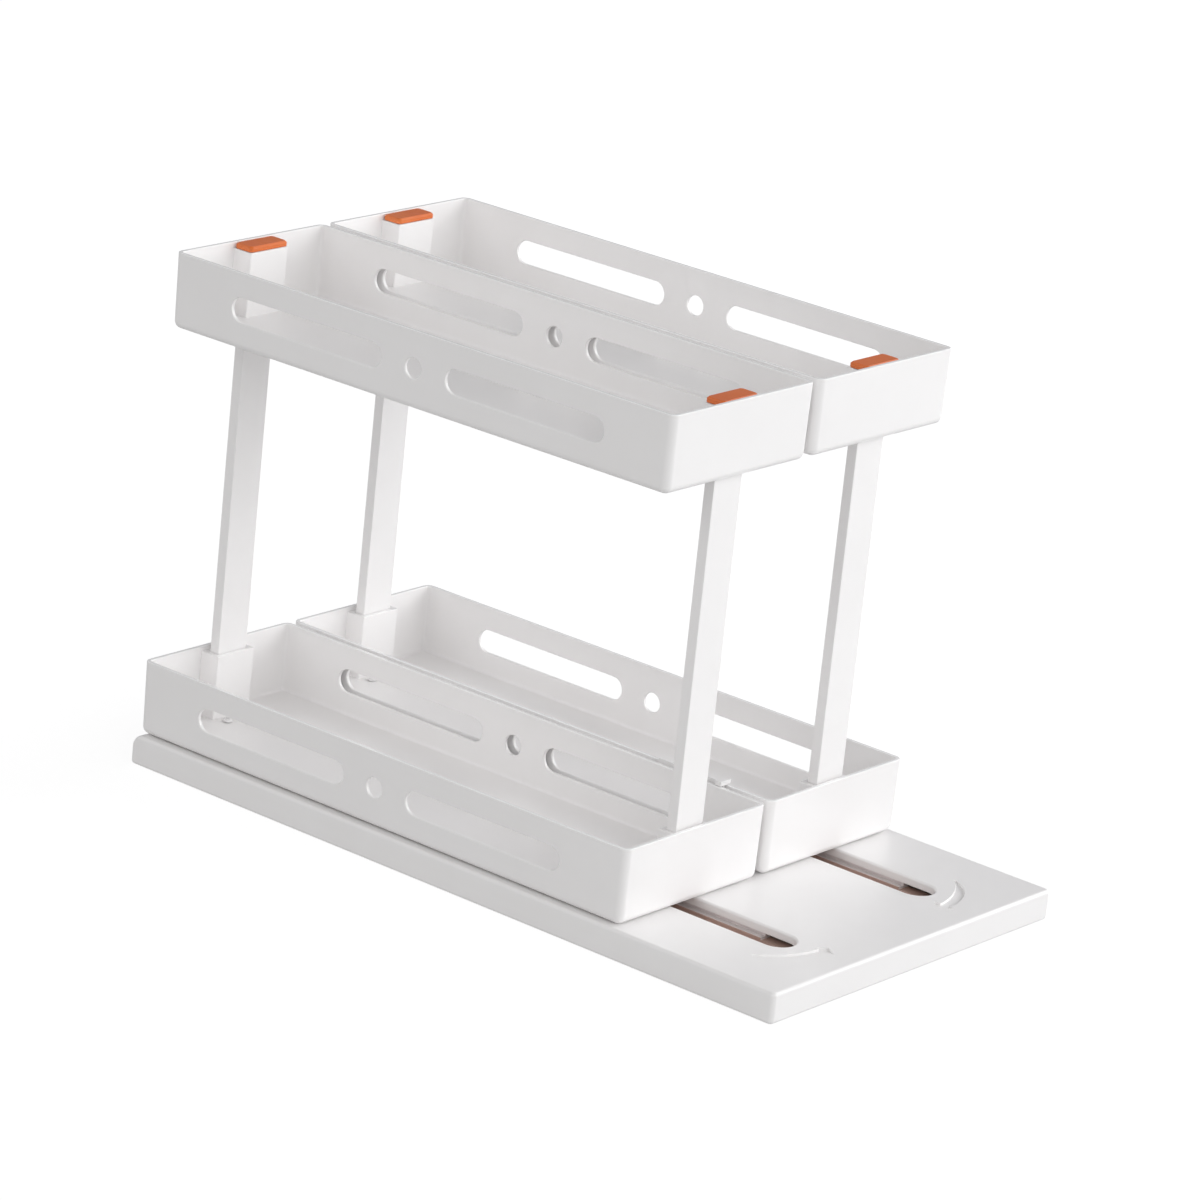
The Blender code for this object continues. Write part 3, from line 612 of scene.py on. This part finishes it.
def base_screw_mesh():
    """Return one screw of the bottom plate, its crossed head facing down."""
    head_top = BASE_SCREW_HEAD_HEIGHT - GAP
    head = circle_outline(BASE_SCREW_HEAD_RADIUS)
    rim = circle_outline(BASE_SCREW_HEAD_RADIUS - SMALL_EDGE)
    shaft = circle_outline(BASE_SCREW_RADIUS)
    sections = [(rim, 0.0), (head, SMALL_EDGE), (head, head_top), (shaft, head_top),
                (shaft, COVER_UNDERSIDE / 2)]
    body = stepped_pillar("base_screw", sections)
    return cut(body, cross_recess(BASE_SCREW_HEAD_RADIUS, head_top, 0.0, 1))


def track_mesh():
    """Return one track: two ledges beside a groove, all lower ahead of the front step; the groove's faces
    are marked for painted shade.
    """
    inner = SLIDER_WIDTH / 2 + GAP
    half = inner + TRACK_SIDE
    groove = TRACK_GROOVE / 2
    groove_floor = TRACK_BOTTOM + TRACK_FLOOR
    right_side = [(half, TRACK_BOTTOM), (half, TRACK_TOP), (inner, TRACK_TOP), (inner, TRACK_LEDGE),
                  (groove, TRACK_LEDGE), (groove, groove_floor)]
    left_side = [(-x, z) for x, z in reversed(right_side)]
    channel = lengthwise_prism("track", right_side + left_side, -TRACK_BACK, TRACK_BACK)
    reach = half + OVERRUN
    low = TRACK_LEDGE - TRACK_FRONT_DROP
    high = TRACK_TOP + OVERRUN
    block = [(-reach, low), (reach, low), (reach, high), (-reach, high)]
    body = cut(channel, [lengthwise_prism("track_front", block, -TRACK_BACK - OVERRUN, TRACK_FRONT)])
    # The groove's faces below the ledges take the second finish, a brown that is painted shade
    for face in body.polygons:
        painted_shade_face = TRACK_BOTTOM + GAP < face.center.z < TRACK_LEDGE - GAP
        face.material_index = int(painted_shade_face)
    return body


def slider_mesh():
    """Return the captive slider with its round neck and bore."""
    length = SLIDER_AHEAD + SLIDER_BEHIND
    centre = (0.0, PIVOT_Y + (SLIDER_BEHIND - SLIDER_AHEAD) / 2)
    pivot = (0.0, PIVOT_Y)
    shoe = prism("slider", rounded_outline(SLIDER_WIDTH, length, SLIDER_CORNER_RADIUS, centre),
                 SLIDER_BOTTOM, SLIDER_TOP)
    neck = prism("slider_neck", circle_outline(SLOT_WIDTH / 2 - SLIDER_NECK_GAP, pivot),
                 SLIDER_BOTTOM + SLIDER_THICKNESS / 2, PLATE_HEIGHT)
    bore = prism("slider_bore", circle_outline(SPIGOT_RADIUS + GAP, pivot), SLIDER_BOTTOM - OVERRUN,
                 PLATE_HEIGHT + OVERRUN)
    return cut(join(shoe, [neck]), [bore])


def disc_screw_places():
    """Return the places of the disc's screws."""
    return [(x, PIVOT_Y - DISC_SCREW_AHEAD) for x in (-DISC_SCREW_SPREAD, DISC_SCREW_SPREAD)]


def turning_disc_mesh():
    """Return the disc under a lower tray, with the spigot that turns in the slider."""
    pivot = (0.0, PIVOT_Y)
    bore = circle_outline(SPIGOT_BORE_RADIUS, pivot)
    spigot = circle_outline(SPIGOT_RADIUS, pivot)
    disc = circle_outline(DISC_RADIUS, pivot)
    sections = [(bore, SLIDER_BOTTOM + SPIGOT_BORE_DEPTH), (bore, SLIDER_BOTTOM),
                (spigot, SLIDER_BOTTOM), (spigot, DISC_BOTTOM), (disc, DISC_BOTTOM), (disc, DISC_TOP)]
    body = stepped_pillar("turning_disc", sections)
    holes = [prism("disc_hole", circle_outline(DISC_SCREW_RADIUS + GAP, spot), DISC_BOTTOM - OVERRUN,
                   DISC_TOP + OVERRUN)
             for spot in disc_screw_places()]
    return cut(body, holes)


def disc_screw_mesh():
    """Return one screw from the tray floor down into the disc, its crossed head up."""
    shaft = circle_outline(DISC_SCREW_RADIUS)
    head = circle_outline(DISC_SCREW_HEAD_RADIUS)
    crown = circle_outline(DISC_SCREW_HEAD_RADIUS * SCREW_CROWN_SHARE)
    seat = FLOOR_TOP + GAP
    head_top = seat + DISC_SCREW_HEAD_HEIGHT
    shoulder = seat + DISC_SCREW_HEAD_HEIGHT / 2
    sections = [(shaft, DISC_BOTTOM + GAP), (shaft, seat), (head, seat), (head, shoulder),
                (crown, head_top)]
    body = stepped_pillar("disc_screw", sections)
    return cut(body, cross_recess(DISC_SCREW_HEAD_RADIUS, DISC_SCREW_HEAD_HEIGHT, head_top, -1))


def tray_ring(inset, level, bottom):
    """Return one outline of a tray, drawn in by its draft and by inset."""
    draft = TRAY_DRAFT * (1 - level / TRAY_HEIGHT)
    shrink = 2 * (inset + draft)
    outline = rounded_outline(TRAY_WIDTH - shrink, TRAY_LENGTH - shrink, TRAY_CORNER_RADIUS - inset,
                              (0.0, TRAY_CENTRE))
    return at_height(outline, bottom + level)


def tray_shell(bottom):
    """Return the open box of a tray: rounded foot, drafted walls, soft rim and floor."""
    places = []
    for index in range(FOOT_STEPS + 1):
        angle = pi / 2 * index / FOOT_STEPS
        places.append((TRAY_FOOT_RADIUS * (1 - sin(angle)), TRAY_FOOT_RADIUS * (1 - cos(angle))))
    rim = []
    for index in range(EDGE_STEPS + 1):
        angle = pi / 2 * index / EDGE_STEPS
        rim.append((RIM_ROUND * (1 - cos(angle)), TRAY_HEIGHT - RIM_ROUND * (1 - sin(angle))))
    places += rim
    places += [(TRAY_WALL - inset, level) for inset, level in reversed(rim)]
    for index in range(FINE_STEPS + 1):
        angle = pi / 2 * index / FINE_STEPS
        places.append((TRAY_WALL + TRAY_INNER_RADIUS * (1 - cos(angle)),
                       TRAY_FLOOR + TRAY_INNER_RADIUS * (1 - sin(angle))))
    return loft("tray", [tray_ring(inset, level, bottom) for inset, level in places])


def post_places():
    """Return the plan positions of the front and rear posts of a caddy."""
    reach = TRAY_LENGTH / 2 - POST_INSET
    return {"front": (0.0, TRAY_CENTRE - reach), "rear": (0.0, TRAY_CENTRE + reach)}


def post_bosses(bottom, top):
    """Return the blocks at both ends of a tray that hold the posts."""
    root = (TRAY_DRAFT + TRAY_WALL) / 2
    depth = BOSS_DEPTH - root
    blocks = []
    for end in (-1, 1):
        middle = (0.0, TRAY_CENTRE + end * (TRAY_LENGTH / 2 - root - depth / 2))

        def outline_at(inset):
            return rounded_outline(CAP_WIDTH - 2 * inset, depth - 2 * inset, BOSS_CORNER_RADIUS - inset,
                                   middle, FINE_STEPS)
        blocks.append(soft_top_block("boss", outline_at, bottom + TRAY_FLOOR / 2, top, BOSS_EDGE))
    return blocks


def post_sockets(bottom, boss_top):
    """Return the cutters of the sockets that take the posts, soft at the mouth."""
    sockets = []
    for spot in post_places().values():
        def outline_at(growth):
            spread = 2 * (GAP + growth)
            return rounded_outline(POST_WIDTH + spread, POST_DEPTH + spread, POST_CORNER_RADIUS + growth,
                                   spot, FINE_STEPS)
        sockets.append(open_top_cutter("socket", outline_at, boss_top, SOCKET_EDGE, bottom))
    return sockets


def wall_cutter(name, outline_at, side, bottom):
    """Return the cutter of one opening through a long wall, soft at both faces."""
    pairs = soft_edge(WINDOW_EDGE)
    steps = [(-OVERRUN, pairs[0][1])] + pairs
    steps += [(TRAY_WALL - depth, growth) for depth, growth in reversed(steps)]
    rings = []
    for depth, growth in steps:
        ring = []
        for level, y in outline_at(growth):
            surface = TRAY_WIDTH / 2 - TRAY_DRAFT * (1 - level / TRAY_HEIGHT)
            ring.append(Vector((side * (surface - depth), y, bottom + level)))
        rings.append(ring)
    return loft(name, rings)


def wall_openings(bottom):
    """Return the cutters of the windows and eyelets in both long walls."""
    offset = EYELET_DIAMETER / 2 + EYELET_TO_WINDOW + WINDOW_LENGTH / 2
    cutters = []
    for side in SIDES.values():
        for end in (-1, 1):
            centre = (WINDOW_LEVEL, TRAY_CENTRE + end * offset)

            def window_at(growth):
                return capsule_outline(WINDOW_LENGTH + 2 * growth, WINDOW_HEIGHT + 2 * growth, centre)
            cutters.append(wall_cutter("window", window_at, side, bottom))

        def eyelet_at(growth):
            centre = (WINDOW_LEVEL, TRAY_CENTRE)
            return circle_outline(EYELET_DIAMETER / 2 + growth, centre, 2 * END_STEPS)
        cutters.append(wall_cutter("eyelet", eyelet_at, side, bottom))
    return cutters


def mark_rim_painted_highlight(mesh, rim):
    """Give the soft rim of a tray the second finish, a lighter white that is a painted highlight."""
    for face in mesh.polygons:
        face.material_index = int(face.center.z > rim - RIM_ROUND)
    return mesh


def lower_tray_mesh():
    """Return a lower tray with the seats of its disc and glide pads."""
    boss_top = LOWER_RIM - LOWER_BOSS_DROP
    body = join(tray_shell(TRAY_BOTTOM), post_bosses(TRAY_BOTTOM, boss_top))
    seats = [prism("pad_seat", circle_outline(GLIDE_RADIUS + GAP, spot), TRAY_BOTTOM - OVERRUN, SEAT_TOP)
             for spot in glide_pad_places()]
    seats.append(prism("disc_seat", circle_outline(DISC_RADIUS + GAP, (0.0, PIVOT_Y)),
                       TRAY_BOTTOM - OVERRUN, SEAT_TOP))
    holes = [prism("floor_hole", circle_outline(DISC_SCREW_RADIUS + GAP, spot), TRAY_BOTTOM - OVERRUN,
                   FLOOR_TOP + OVERRUN)
             for spot in disc_screw_places()]
    cutters = wall_openings(TRAY_BOTTOM) + post_sockets(FLOOR_TOP, boss_top) + seats + holes
    return mark_rim_painted_highlight(cut(body, cutters), LOWER_RIM)


def upper_tray_mesh():
    """Return an upper tray, open under its bosses so that the posts pass in."""
    boss_top = UPPER_RIM - UPPER_BOSS_DROP
    body = join(tray_shell(UPPER_BOTTOM), post_bosses(UPPER_BOTTOM, boss_top))
    cutters = wall_openings(UPPER_BOTTOM) + post_sockets(UPPER_BOTTOM - OVERRUN, boss_top)
    return mark_rim_painted_highlight(cut(body, cutters), UPPER_RIM)


def post_mesh(spot):
    """Return one post, from the lower floor to just under the cap's plug."""
    outline = rounded_outline(POST_WIDTH, POST_DEPTH, POST_CORNER_RADIUS, spot, FINE_STEPS)
    return prism("post", outline, FLOOR_TOP + GAP, CAP_BOTTOM - CAP_PLUG_LENGTH - GAP)


def cap_mesh(spot):
    """Return one cap with the plug that goes into its socket."""
    top = CAP_BOTTOM + CAP_THICKNESS
    plug = rounded_outline(POST_WIDTH, POST_DEPTH, POST_CORNER_RADIUS, spot)
    face = rounded_outline(CAP_WIDTH, CAP_DEPTH, CAP_CORNER_RADIUS, spot)
    crown = rounded_outline(CAP_WIDTH - 2 * CAP_CHAMFER, CAP_DEPTH - 2 * CAP_CHAMFER,
                            CAP_CORNER_RADIUS - CAP_CHAMFER / 2, spot)
    sections = [(plug, CAP_BOTTOM - CAP_PLUG_LENGTH), (plug, CAP_BOTTOM), (face, CAP_BOTTOM),
                (face, top - CAP_CHAMFER), (crown, top)]
    return stepped_pillar("cap", sections)


def glide_pad_places():
    """Return the places of a lower tray's glide pads."""
    side = TRAY_WIDTH / 2 - GLIDE_SIDE_INSET
    end = TRAY_LENGTH / 2 - GLIDE_END_INSET
    return [(x, y) for x in (-side, side) for y in (TRAY_CENTRE - end, TRAY_CENTRE + end)]


def glide_pad_mesh():
    """Return one pad on which a lower tray glides, its running edge rounded."""
    sections = []
    for depth in reversed(quarter_levels(GLIDE_EDGE_RADIUS, EDGE_STEPS)):
        radius = GLIDE_RADIUS - edge_inset(depth, GLIDE_EDGE_RADIUS)
        sections.append((circle_outline(radius), DISC_BOTTOM + depth))
    sections.append((circle_outline(GLIDE_RADIUS), DISC_TOP))
    return stepped_pillar("glide_pad", sections)


def rim_clip_mesh():
    """Return the clip that straddles the inner rim and reaches over the gap."""
    outside = -TRAY_WIDTH / 2 - GAP
    inside = -TRAY_WIDTH / 2 + TRAY_WALL + 2 * GAP
    under = LOWER_RIM + GAP
    over = under + CLIP_THICKNESS
    foot = LOWER_RIM - CLIP_LEG
    section = [(outside - CLIP_THICKNESS, foot), (outside, foot), (outside, under), (inside, under),
               (inside, foot), (inside + CLIP_THICKNESS, foot), (inside + CLIP_THICKNESS, over),
               (outside - CLIP_THICKNESS, over)]
    front = TRAY_CENTRE - TRAY_LENGTH / 2 + CLIP_FRONT_INSET
    body = lengthwise_prism("rim_clip", section, front, front + CLIP_LENGTH)
    far_side = outside - CLIP_THICKNESS - CADDY_GAP
    tab_outline = [(far_side, under), (outside, under), (inside, under + CLIP_THICKNESS / 2),
                   (inside, over + CLIP_TAB_RISE), (far_side, over + CLIP_TAB_RISE)]
    tab = lengthwise_prism("clip_tab", tab_outline, front - OVERRUN, front + CLIP_TAB_LENGTH)
    return join(body, [tab])


class Finish:
    """One procedural material, built node by node."""

    def __init__(self, name):
        self.material = bpy.data.materials.new(name)
        self.material.use_nodes = True
        self.tree = self.material.node_tree
        self.shader = self.tree.nodes["Principled BSDF"]
        self.place = self.tree.nodes.new("ShaderNodeTexCoord")

    def link(self, output, target):
        """Join one node's output to another's input."""
        self.tree.links.new(output, target)

    def noise(self, settings):
        """Return the value output of a noise texture in object space."""
        node = self.tree.nodes.new("ShaderNodeTexNoise")
        for name, value in zip(("Scale", "Detail", "Roughness", "Distortion"), settings):
            node.inputs[name].default_value = value
        self.link(self.place.outputs["Object"], node.inputs["Vector"])
        return node.outputs["Fac"]

    def spread(self, value, source, target):
        """Map a value from one range to another, clamped."""
        node = self.tree.nodes.new("ShaderNodeMapRange")
        node.inputs["From Min"].default_value = source[0]
        node.inputs["From Max"].default_value = source[1]
        node.inputs["To Min"].default_value = target[0]
        node.inputs["To Max"].default_value = target[1]
        self.link(value, node.inputs["Value"])
        return node.outputs["Result"]

    def colours(self, value, first, second):
        """Return a colour that goes from first to second with a value."""
        node = self.tree.nodes.new("ShaderNodeValToRGB")
        node.color_ramp.elements[0].color = (*first, 1.0)
        node.color_ramp.elements[1].color = (*second, 1.0)
        self.link(value, node.inputs["Fac"])
        return node.outputs["Color"]

    def bump(self, height, distance, strength):
        """Add a bump over what the shader's normal already has."""
        node = self.tree.nodes.new("ShaderNodeBump")
        node.inputs["Distance"].default_value = distance
        node.inputs["Strength"].default_value = strength
        self.link(height, node.inputs["Height"])
        normal = self.shader.inputs["Normal"]
        if normal.links:
            self.link(normal.links[0].from_socket, node.inputs["Normal"])
        self.link(node.outputs["Normal"], normal)


def moulded(name, colour, deep, satin, grain):
    """Return a moulded plastic: faint flow mottling, satin grain, uneven sheen."""
    finish = Finish(name)
    mottle = finish.spread(finish.noise(FLOW_NOISE), MOTTLE_RANGE, WHOLE_RANGE)
    finish.link(finish.colours(mottle, deep, colour), finish.shader.inputs["Base Color"])
    rough = finish.spread(finish.noise(SHEEN_NOISE), MOTTLE_RANGE, satin)
    finish.link(rough, finish.shader.inputs["Roughness"])
    finish.bump(finish.noise(GRAIN_NOISE), GRAIN_DEPTH, grain)
    finish.bump(finish.noise(WAVE_NOISE), WAVE_DEPTH, WAVE_STRENGTH)
    finish.shader.inputs["IOR"].default_value = PLASTIC_IOR
    return finish.material


def rubber(name):
    """Return a dull grained rubber."""
    finish = Finish(name)
    dust = finish.spread(finish.noise(DUST_NOISE), MOTTLE_RANGE, WHOLE_RANGE)
    finish.link(finish.colours(dust, RUBBER_DEEP, RUBBER_GREY), finish.shader.inputs["Base Color"])
    finish.link(finish.spread(dust, WHOLE_RANGE, RUBBER_SATIN), finish.shader.inputs["Roughness"])
    finish.bump(finish.noise(RUBBER_NOISE), RUBBER_DEPTH, RUBBER_GRAIN)
    return finish.material


def steel(name):
    """Return a zinc-plated steel with fine turned scratches."""
    finish = Finish(name)
    bloom = finish.spread(finish.noise(BLOOM_NOISE), MOTTLE_RANGE, WHOLE_RANGE)
    finish.link(finish.colours(bloom, STEEL_DARK, STEEL_LIGHT), finish.shader.inputs["Base Color"])
    finish.link(finish.spread(bloom, WHOLE_RANGE, STEEL_SATIN), finish.shader.inputs["Roughness"])
    finish.bump(finish.noise(SCRATCH_NOISE), GRAIN_DEPTH, STEEL_GRAIN)
    finish.shader.inputs["Metallic"].default_value = 1.0
    return finish.material


def make_finishes():
    """Return the finishes: the record's material slots, a lighter white on the trays' rims that is a
    painted highlight, and a brown in the base plate's inside and the tracks' grooves that is painted
    shade.
    """
    mouldings = {
        "white_plastic": (WHITE, WHITE_DEEP, WHITE_SATIN, WHITE_GRAIN),
        "rim_painted_highlight_plastic": (RIM_PAINTED_HIGHLIGHT, RIM_PAINTED_HIGHLIGHT_DEEP, RIM_SATIN, WHITE_GRAIN),
        "orange_plastic": (ORANGE, ORANGE_DEEP, ORANGE_SATIN, ORANGE_GRAIN),
        "track_plastic": (TRACK_BROWN, TRACK_DEEP, TRACK_SATIN, WHITE_GRAIN),
        "painted_shade_plastic": (PAINTED_SHADE_BROWN, PAINTED_SHADE_DEEP, TRACK_SATIN, WHITE_GRAIN),
        "slider_plastic": (SLIDER_GREY, SLIDER_DEEP, WHITE_SATIN, WHITE_GRAIN),
        "screw_enamel": (ENAMEL, ENAMEL_DEEP, ENAMEL_SATIN, WHITE_GRAIN),
    }
    finishes = {name: moulded(name + "_finish", *settings) for name, settings in mouldings.items()}
    finishes["pad_rubber"] = rubber("pad_rubber_finish")
    finishes["screw_steel"] = steel("screw_steel_finish")
    return finishes


def soften(item, bevel):
    """Round the crisp edges of a piece and keep its flat faces flat in the shading."""
    if bevel:
        edge = item.modifiers.new("edge", "BEVEL")
        edge.width = bevel
        edge.segments = BEVEL_SEGMENTS
        edge.limit_method = "ANGLE"
        edge.angle_limit = BEVEL_ANGLE
    flat = item.modifiers.new("flat", "WEIGHTED_NORMAL")
    flat.keep_sharp = True


def show(node, mesh, slot, finishes, body, spot=(0.0, 0.0), bevel=0.0, inner=None):
    """Put one piece in the place of its node, in world coordinates, on its body."""
    own_mesh = mesh.copy()
    own_mesh.name = node + "_look"
    own_mesh.transform(Matrix.Translation((*spot, 0.0)))
    own_mesh.materials.clear()
    # The faces marked 1 take the finish named by inner: painted shade in the base's hollows, a painted
    # highlight on the trays' rims.
    indices = [face.material_index if inner else 0 for face in mesh.polygons]
    own_mesh.materials.append(finishes[slot])
    if inner:
        own_mesh.materials.append(finishes[inner])
    own_mesh.polygons.foreach_set("material_index", indices)
    own_mesh.shade_smooth()
    own_mesh.set_sharp_from_angle(angle=CREASE_ANGLE)
    item = bpy.data.objects.new(node + "_look", own_mesh)
    bpy.context.collection.objects.link(item)
    soften(item, bevel)
    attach(item, body)
    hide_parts(node)
    return item


def show_each(name, mesh, slot, finishes, body, spots, shift=0.0, bevel=0.0):
    """Put one numbered piece at each plan position."""
    for number, (x, y) in enumerate(spots, start=1):
        show(name + "_" + str(number), mesh, slot, finishes, body, (x + shift, y), bevel)


def dress_base(finishes):
    """Make the pieces that stay on the shelf."""
    show("base_cover", base_cover_mesh(), "white_plastic", finishes, "base")
    # The bottom plate's top face takes a brown that is painted shade.
    show("base_bottom_plate", base_bottom_mesh(), "white_plastic", finishes, "base", bevel=SMALL_EDGE,
         inner="painted_shade_plastic")
    show_each("base_screw", base_screw_mesh(), "screw_steel", finishes, "base", base_screw_places())
    show_each("base_pad", base_pad_mesh(), "pad_rubber", finishes, "base", pad_places(), bevel=SMALL_EDGE)
    track = track_mesh()
    # The tracks' grooves take the same brown, painted shade.
    for side, sign in SIDES.items():
        show(side + "_track", track, "track_plastic", finishes, "base", (sign * CADDY_X, 0.0),
             bevel=SMALL_EDGE, inner="painted_shade_plastic")


def turning_pieces():
    """Return the single pieces of one turning caddy as (mesh, slot, bevel)."""
    pieces = {
        "turning_disc": (turning_disc_mesh(), "slider_plastic", SMALL_EDGE),
        "lower_tray": (lower_tray_mesh(), "white_plastic", 0.0),
        "upper_tray": (upper_tray_mesh(), "white_plastic", 0.0),
    }
    for end, spot in post_places().items():
        pieces[end + "_post"] = (post_mesh(spot), "white_plastic", SMALL_EDGE)
        pieces[end + "_cap"] = (cap_mesh(spot), "orange_plastic", SMALL_EDGE)
    return pieces


def dress_caddies(finishes):
    """Make the slider and the turning caddy on each side."""
    pieces = turning_pieces()
    slider = slider_mesh()
    disc_screw = disc_screw_mesh()
    glide_pad = glide_pad_mesh()
    for side, sign in SIDES.items():
        shift = sign * CADDY_X
        caddy = side + "_caddy"
        show(side + "_slider", slider, "slider_plastic", finishes, side + "_carriage", (shift, 0.0),
             SMALL_EDGE)
        for piece, (mesh, slot, bevel) in pieces.items():
            # The trays' rims take a lighter white, a painted highlight.
            rim = "rim_painted_highlight_plastic" if piece.endswith("tray") else None
            show(side + "_" + piece, mesh, slot, finishes, caddy, (shift, 0.0), bevel, rim)
        show_each(side + "_disc_screw", disc_screw, "screw_enamel", finishes, caddy, disc_screw_places(),
                  shift)
        show_each(side + "_glide_pad", glide_pad, "slider_plastic", finishes, caddy, glide_pad_places(),
                  shift)
        if side == "right":
            show("right_rim_clip", rim_clip_mesh(), "white_plastic", finishes, caddy, (shift, 0.0),
                 SMALL_EDGE)


def finish_kept_nodes(finishes):
    """Give the hidden pivot screws and washers, which stay as solids, their finish."""
    for side in SIDES:
        for piece in ("_pivot_washer", "_pivot_screw"):
            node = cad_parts[side + piece]
            node.data.materials.clear()
            node.data.materials.append(finishes["screw_steel"])


def make_floor():
    """Add a pale floor that reads white to the camera and keeps a soft shadow."""
    mesh = bpy.data.meshes.new("floor")
    reach = FLOOR_HALF_WIDTH
    corners = [(-reach, -reach), (reach, -reach), (reach, reach), (-reach, reach)]
    mesh.from_pydata([(x, y, -FLOOR_DROP) for x, y in corners], [], [range(len(corners))])
    floor = bpy.data.objects.new("floor", mesh)
    bpy.context.collection.objects.link(floor)
    material = bpy.data.materials.new("floor_finish")
    material.use_nodes = True
    tree = material.node_tree
    tree.nodes.remove(tree.nodes["Principled BSDF"])
    ray = tree.nodes.new("ShaderNodeLightPath")
    choice = tree.nodes.new("ShaderNodeMixShader")
    tree.links.new(ray.outputs["Is Camera Ray"], choice.inputs[0])
    lit = (FLOOR_COLOUR, FLOOR_LIFT, choice.inputs[1])
    seen = (FLOOR_SEEN_COLOUR, FLOOR_GLOW, choice.inputs[2])
    for colour, strength, target in (lit, seen):
        plain = tree.nodes.new("ShaderNodeBsdfDiffuse")
        plain.inputs["Color"].default_value = (*colour, 1.0)
        glow = tree.nodes.new("ShaderNodeEmission")
        glow.inputs["Strength"].default_value = strength
        both = tree.nodes.new("ShaderNodeAddShader")
        tree.links.new(plain.outputs[0], both.inputs[0])
        tree.links.new(glow.outputs[0], both.inputs[1])
        tree.links.new(both.outputs[0], target)
    tree.links.new(choice.outputs[0], tree.nodes["Material Output"].inputs["Surface"])
    mesh.materials.append(material)


def make_sky():
    """Light the piece softly, less from the shade side, with plain white behind it."""
    world = bpy.data.worlds.new("studio")
    bpy.context.scene.world = world
    world.use_nodes = True
    tree = world.node_tree
    around = tree.nodes["Background"]
    place = tree.nodes.new("ShaderNodeTexCoord")
    axes = tree.nodes.new("ShaderNodeSeparateXYZ")
    tree.links.new(place.outputs["Generated"], axes.inputs[0])
    ramp = tree.nodes.new("ShaderNodeValToRGB")
    stops = ramp.color_ramp.elements
    for height, _ in SKY_STOPS[1:-1]:
        stops.new(height)
    for stop, (_, level) in zip(stops, SKY_STOPS):
        stop.color = (level, level, level, 1.0)
    tree.links.new(axes.outputs["Z"], ramp.inputs["Fac"])
    facing = tree.nodes.new("ShaderNodeVectorMath")
    facing.operation = "DOT_PRODUCT"
    facing.inputs[1].default_value = SHADE_SIDE
    tree.links.new(place.outputs["Generated"], facing.inputs[0])
    share = tree.nodes.new("ShaderNodeMapRange")
    share.interpolation_type = "SMOOTHSTEP"
    share.inputs["From Min"].default_value = SHADE_SPAN[0]
    share.inputs["From Max"].default_value = SHADE_SPAN[1]
    tree.links.new(facing.outputs["Value"], share.inputs["Value"])
    shaded = tree.nodes.new("ShaderNodeMixRGB")
    shaded.inputs["Color2"].default_value = (*SHADE_COLOUR, 1.0)
    tree.links.new(share.outputs["Result"], shaded.inputs["Fac"])
    tree.links.new(ramp.outputs["Color"], shaded.inputs["Color1"])
    tree.links.new(shaded.outputs["Color"], around.inputs["Color"])
    behind = tree.nodes.new("ShaderNodeBackground")
    behind.inputs["Color"].default_value = (*BACKDROP, 1.0)
    ray = tree.nodes.new("ShaderNodeLightPath")
    choice = tree.nodes.new("ShaderNodeMixShader")
    tree.links.new(ray.outputs["Is Camera Ray"], choice.inputs[0])
    tree.links.new(around.outputs[0], choice.inputs[1])
    tree.links.new(behind.outputs[0], choice.inputs[2])
    tree.links.new(choice.outputs[0], tree.nodes["World Output"].inputs["Surface"])


def make_lamps():
    """Add the large soft lamps that stand round the piece."""
    for name, (direction, power) in LAMPS.items():
        lamp = bpy.data.lights.new(name, "AREA")
        lamp.shape = "SQUARE"
        lamp.size = LAMP_SIZE
        lamp.energy = power
        lamp.color = LAMP_COLOUR
        item = bpy.data.objects.new(name, lamp)
        towards = Vector(direction).normalized()
        item.location = Vector(AIM_POINT) + towards * LAMP_DISTANCE
        item.rotation_euler = towards.to_track_quat("Z", "Y").to_euler()
        bpy.context.collection.objects.link(item)


def make_camera():
    """Add the camera at the photograph's place, turned by azimuth, elevation and roll."""
    turn, rise, roll = CAMERA_AZIMUTH, CAMERA_ELEVATION, CAMERA_ROLL
    back = Vector((sin(turn) * cos(rise), -cos(turn) * cos(rise), sin(rise)))
    level_right = Vector((cos(turn), sin(turn), 0.0))
    level_up = back.cross(level_right)
    right = cos(roll) * level_right + sin(roll) * level_up
    up = cos(roll) * level_up - sin(roll) * level_right
    data = bpy.data.cameras.new("camera")
    data.sensor_width = SENSOR_WIDTH
    data.lens = CAMERA_LENS
    camera = bpy.data.objects.new("camera", data)
    axes = Matrix((right, up, back)).transposed().to_4x4()
    camera.matrix_world = Matrix.Translation(CAMERA_PLACE) @ axes
    bpy.context.collection.objects.link(camera)
    bpy.context.scene.camera = camera


def main():
    finishes = make_finishes()
    dress_base(finishes)
    dress_caddies(finishes)
    finish_kept_nodes(finishes)
    make_floor()
    make_sky()
    make_lamps()
    make_camera()
    bpy.context.scene.view_settings.view_transform = "Standard"


main()
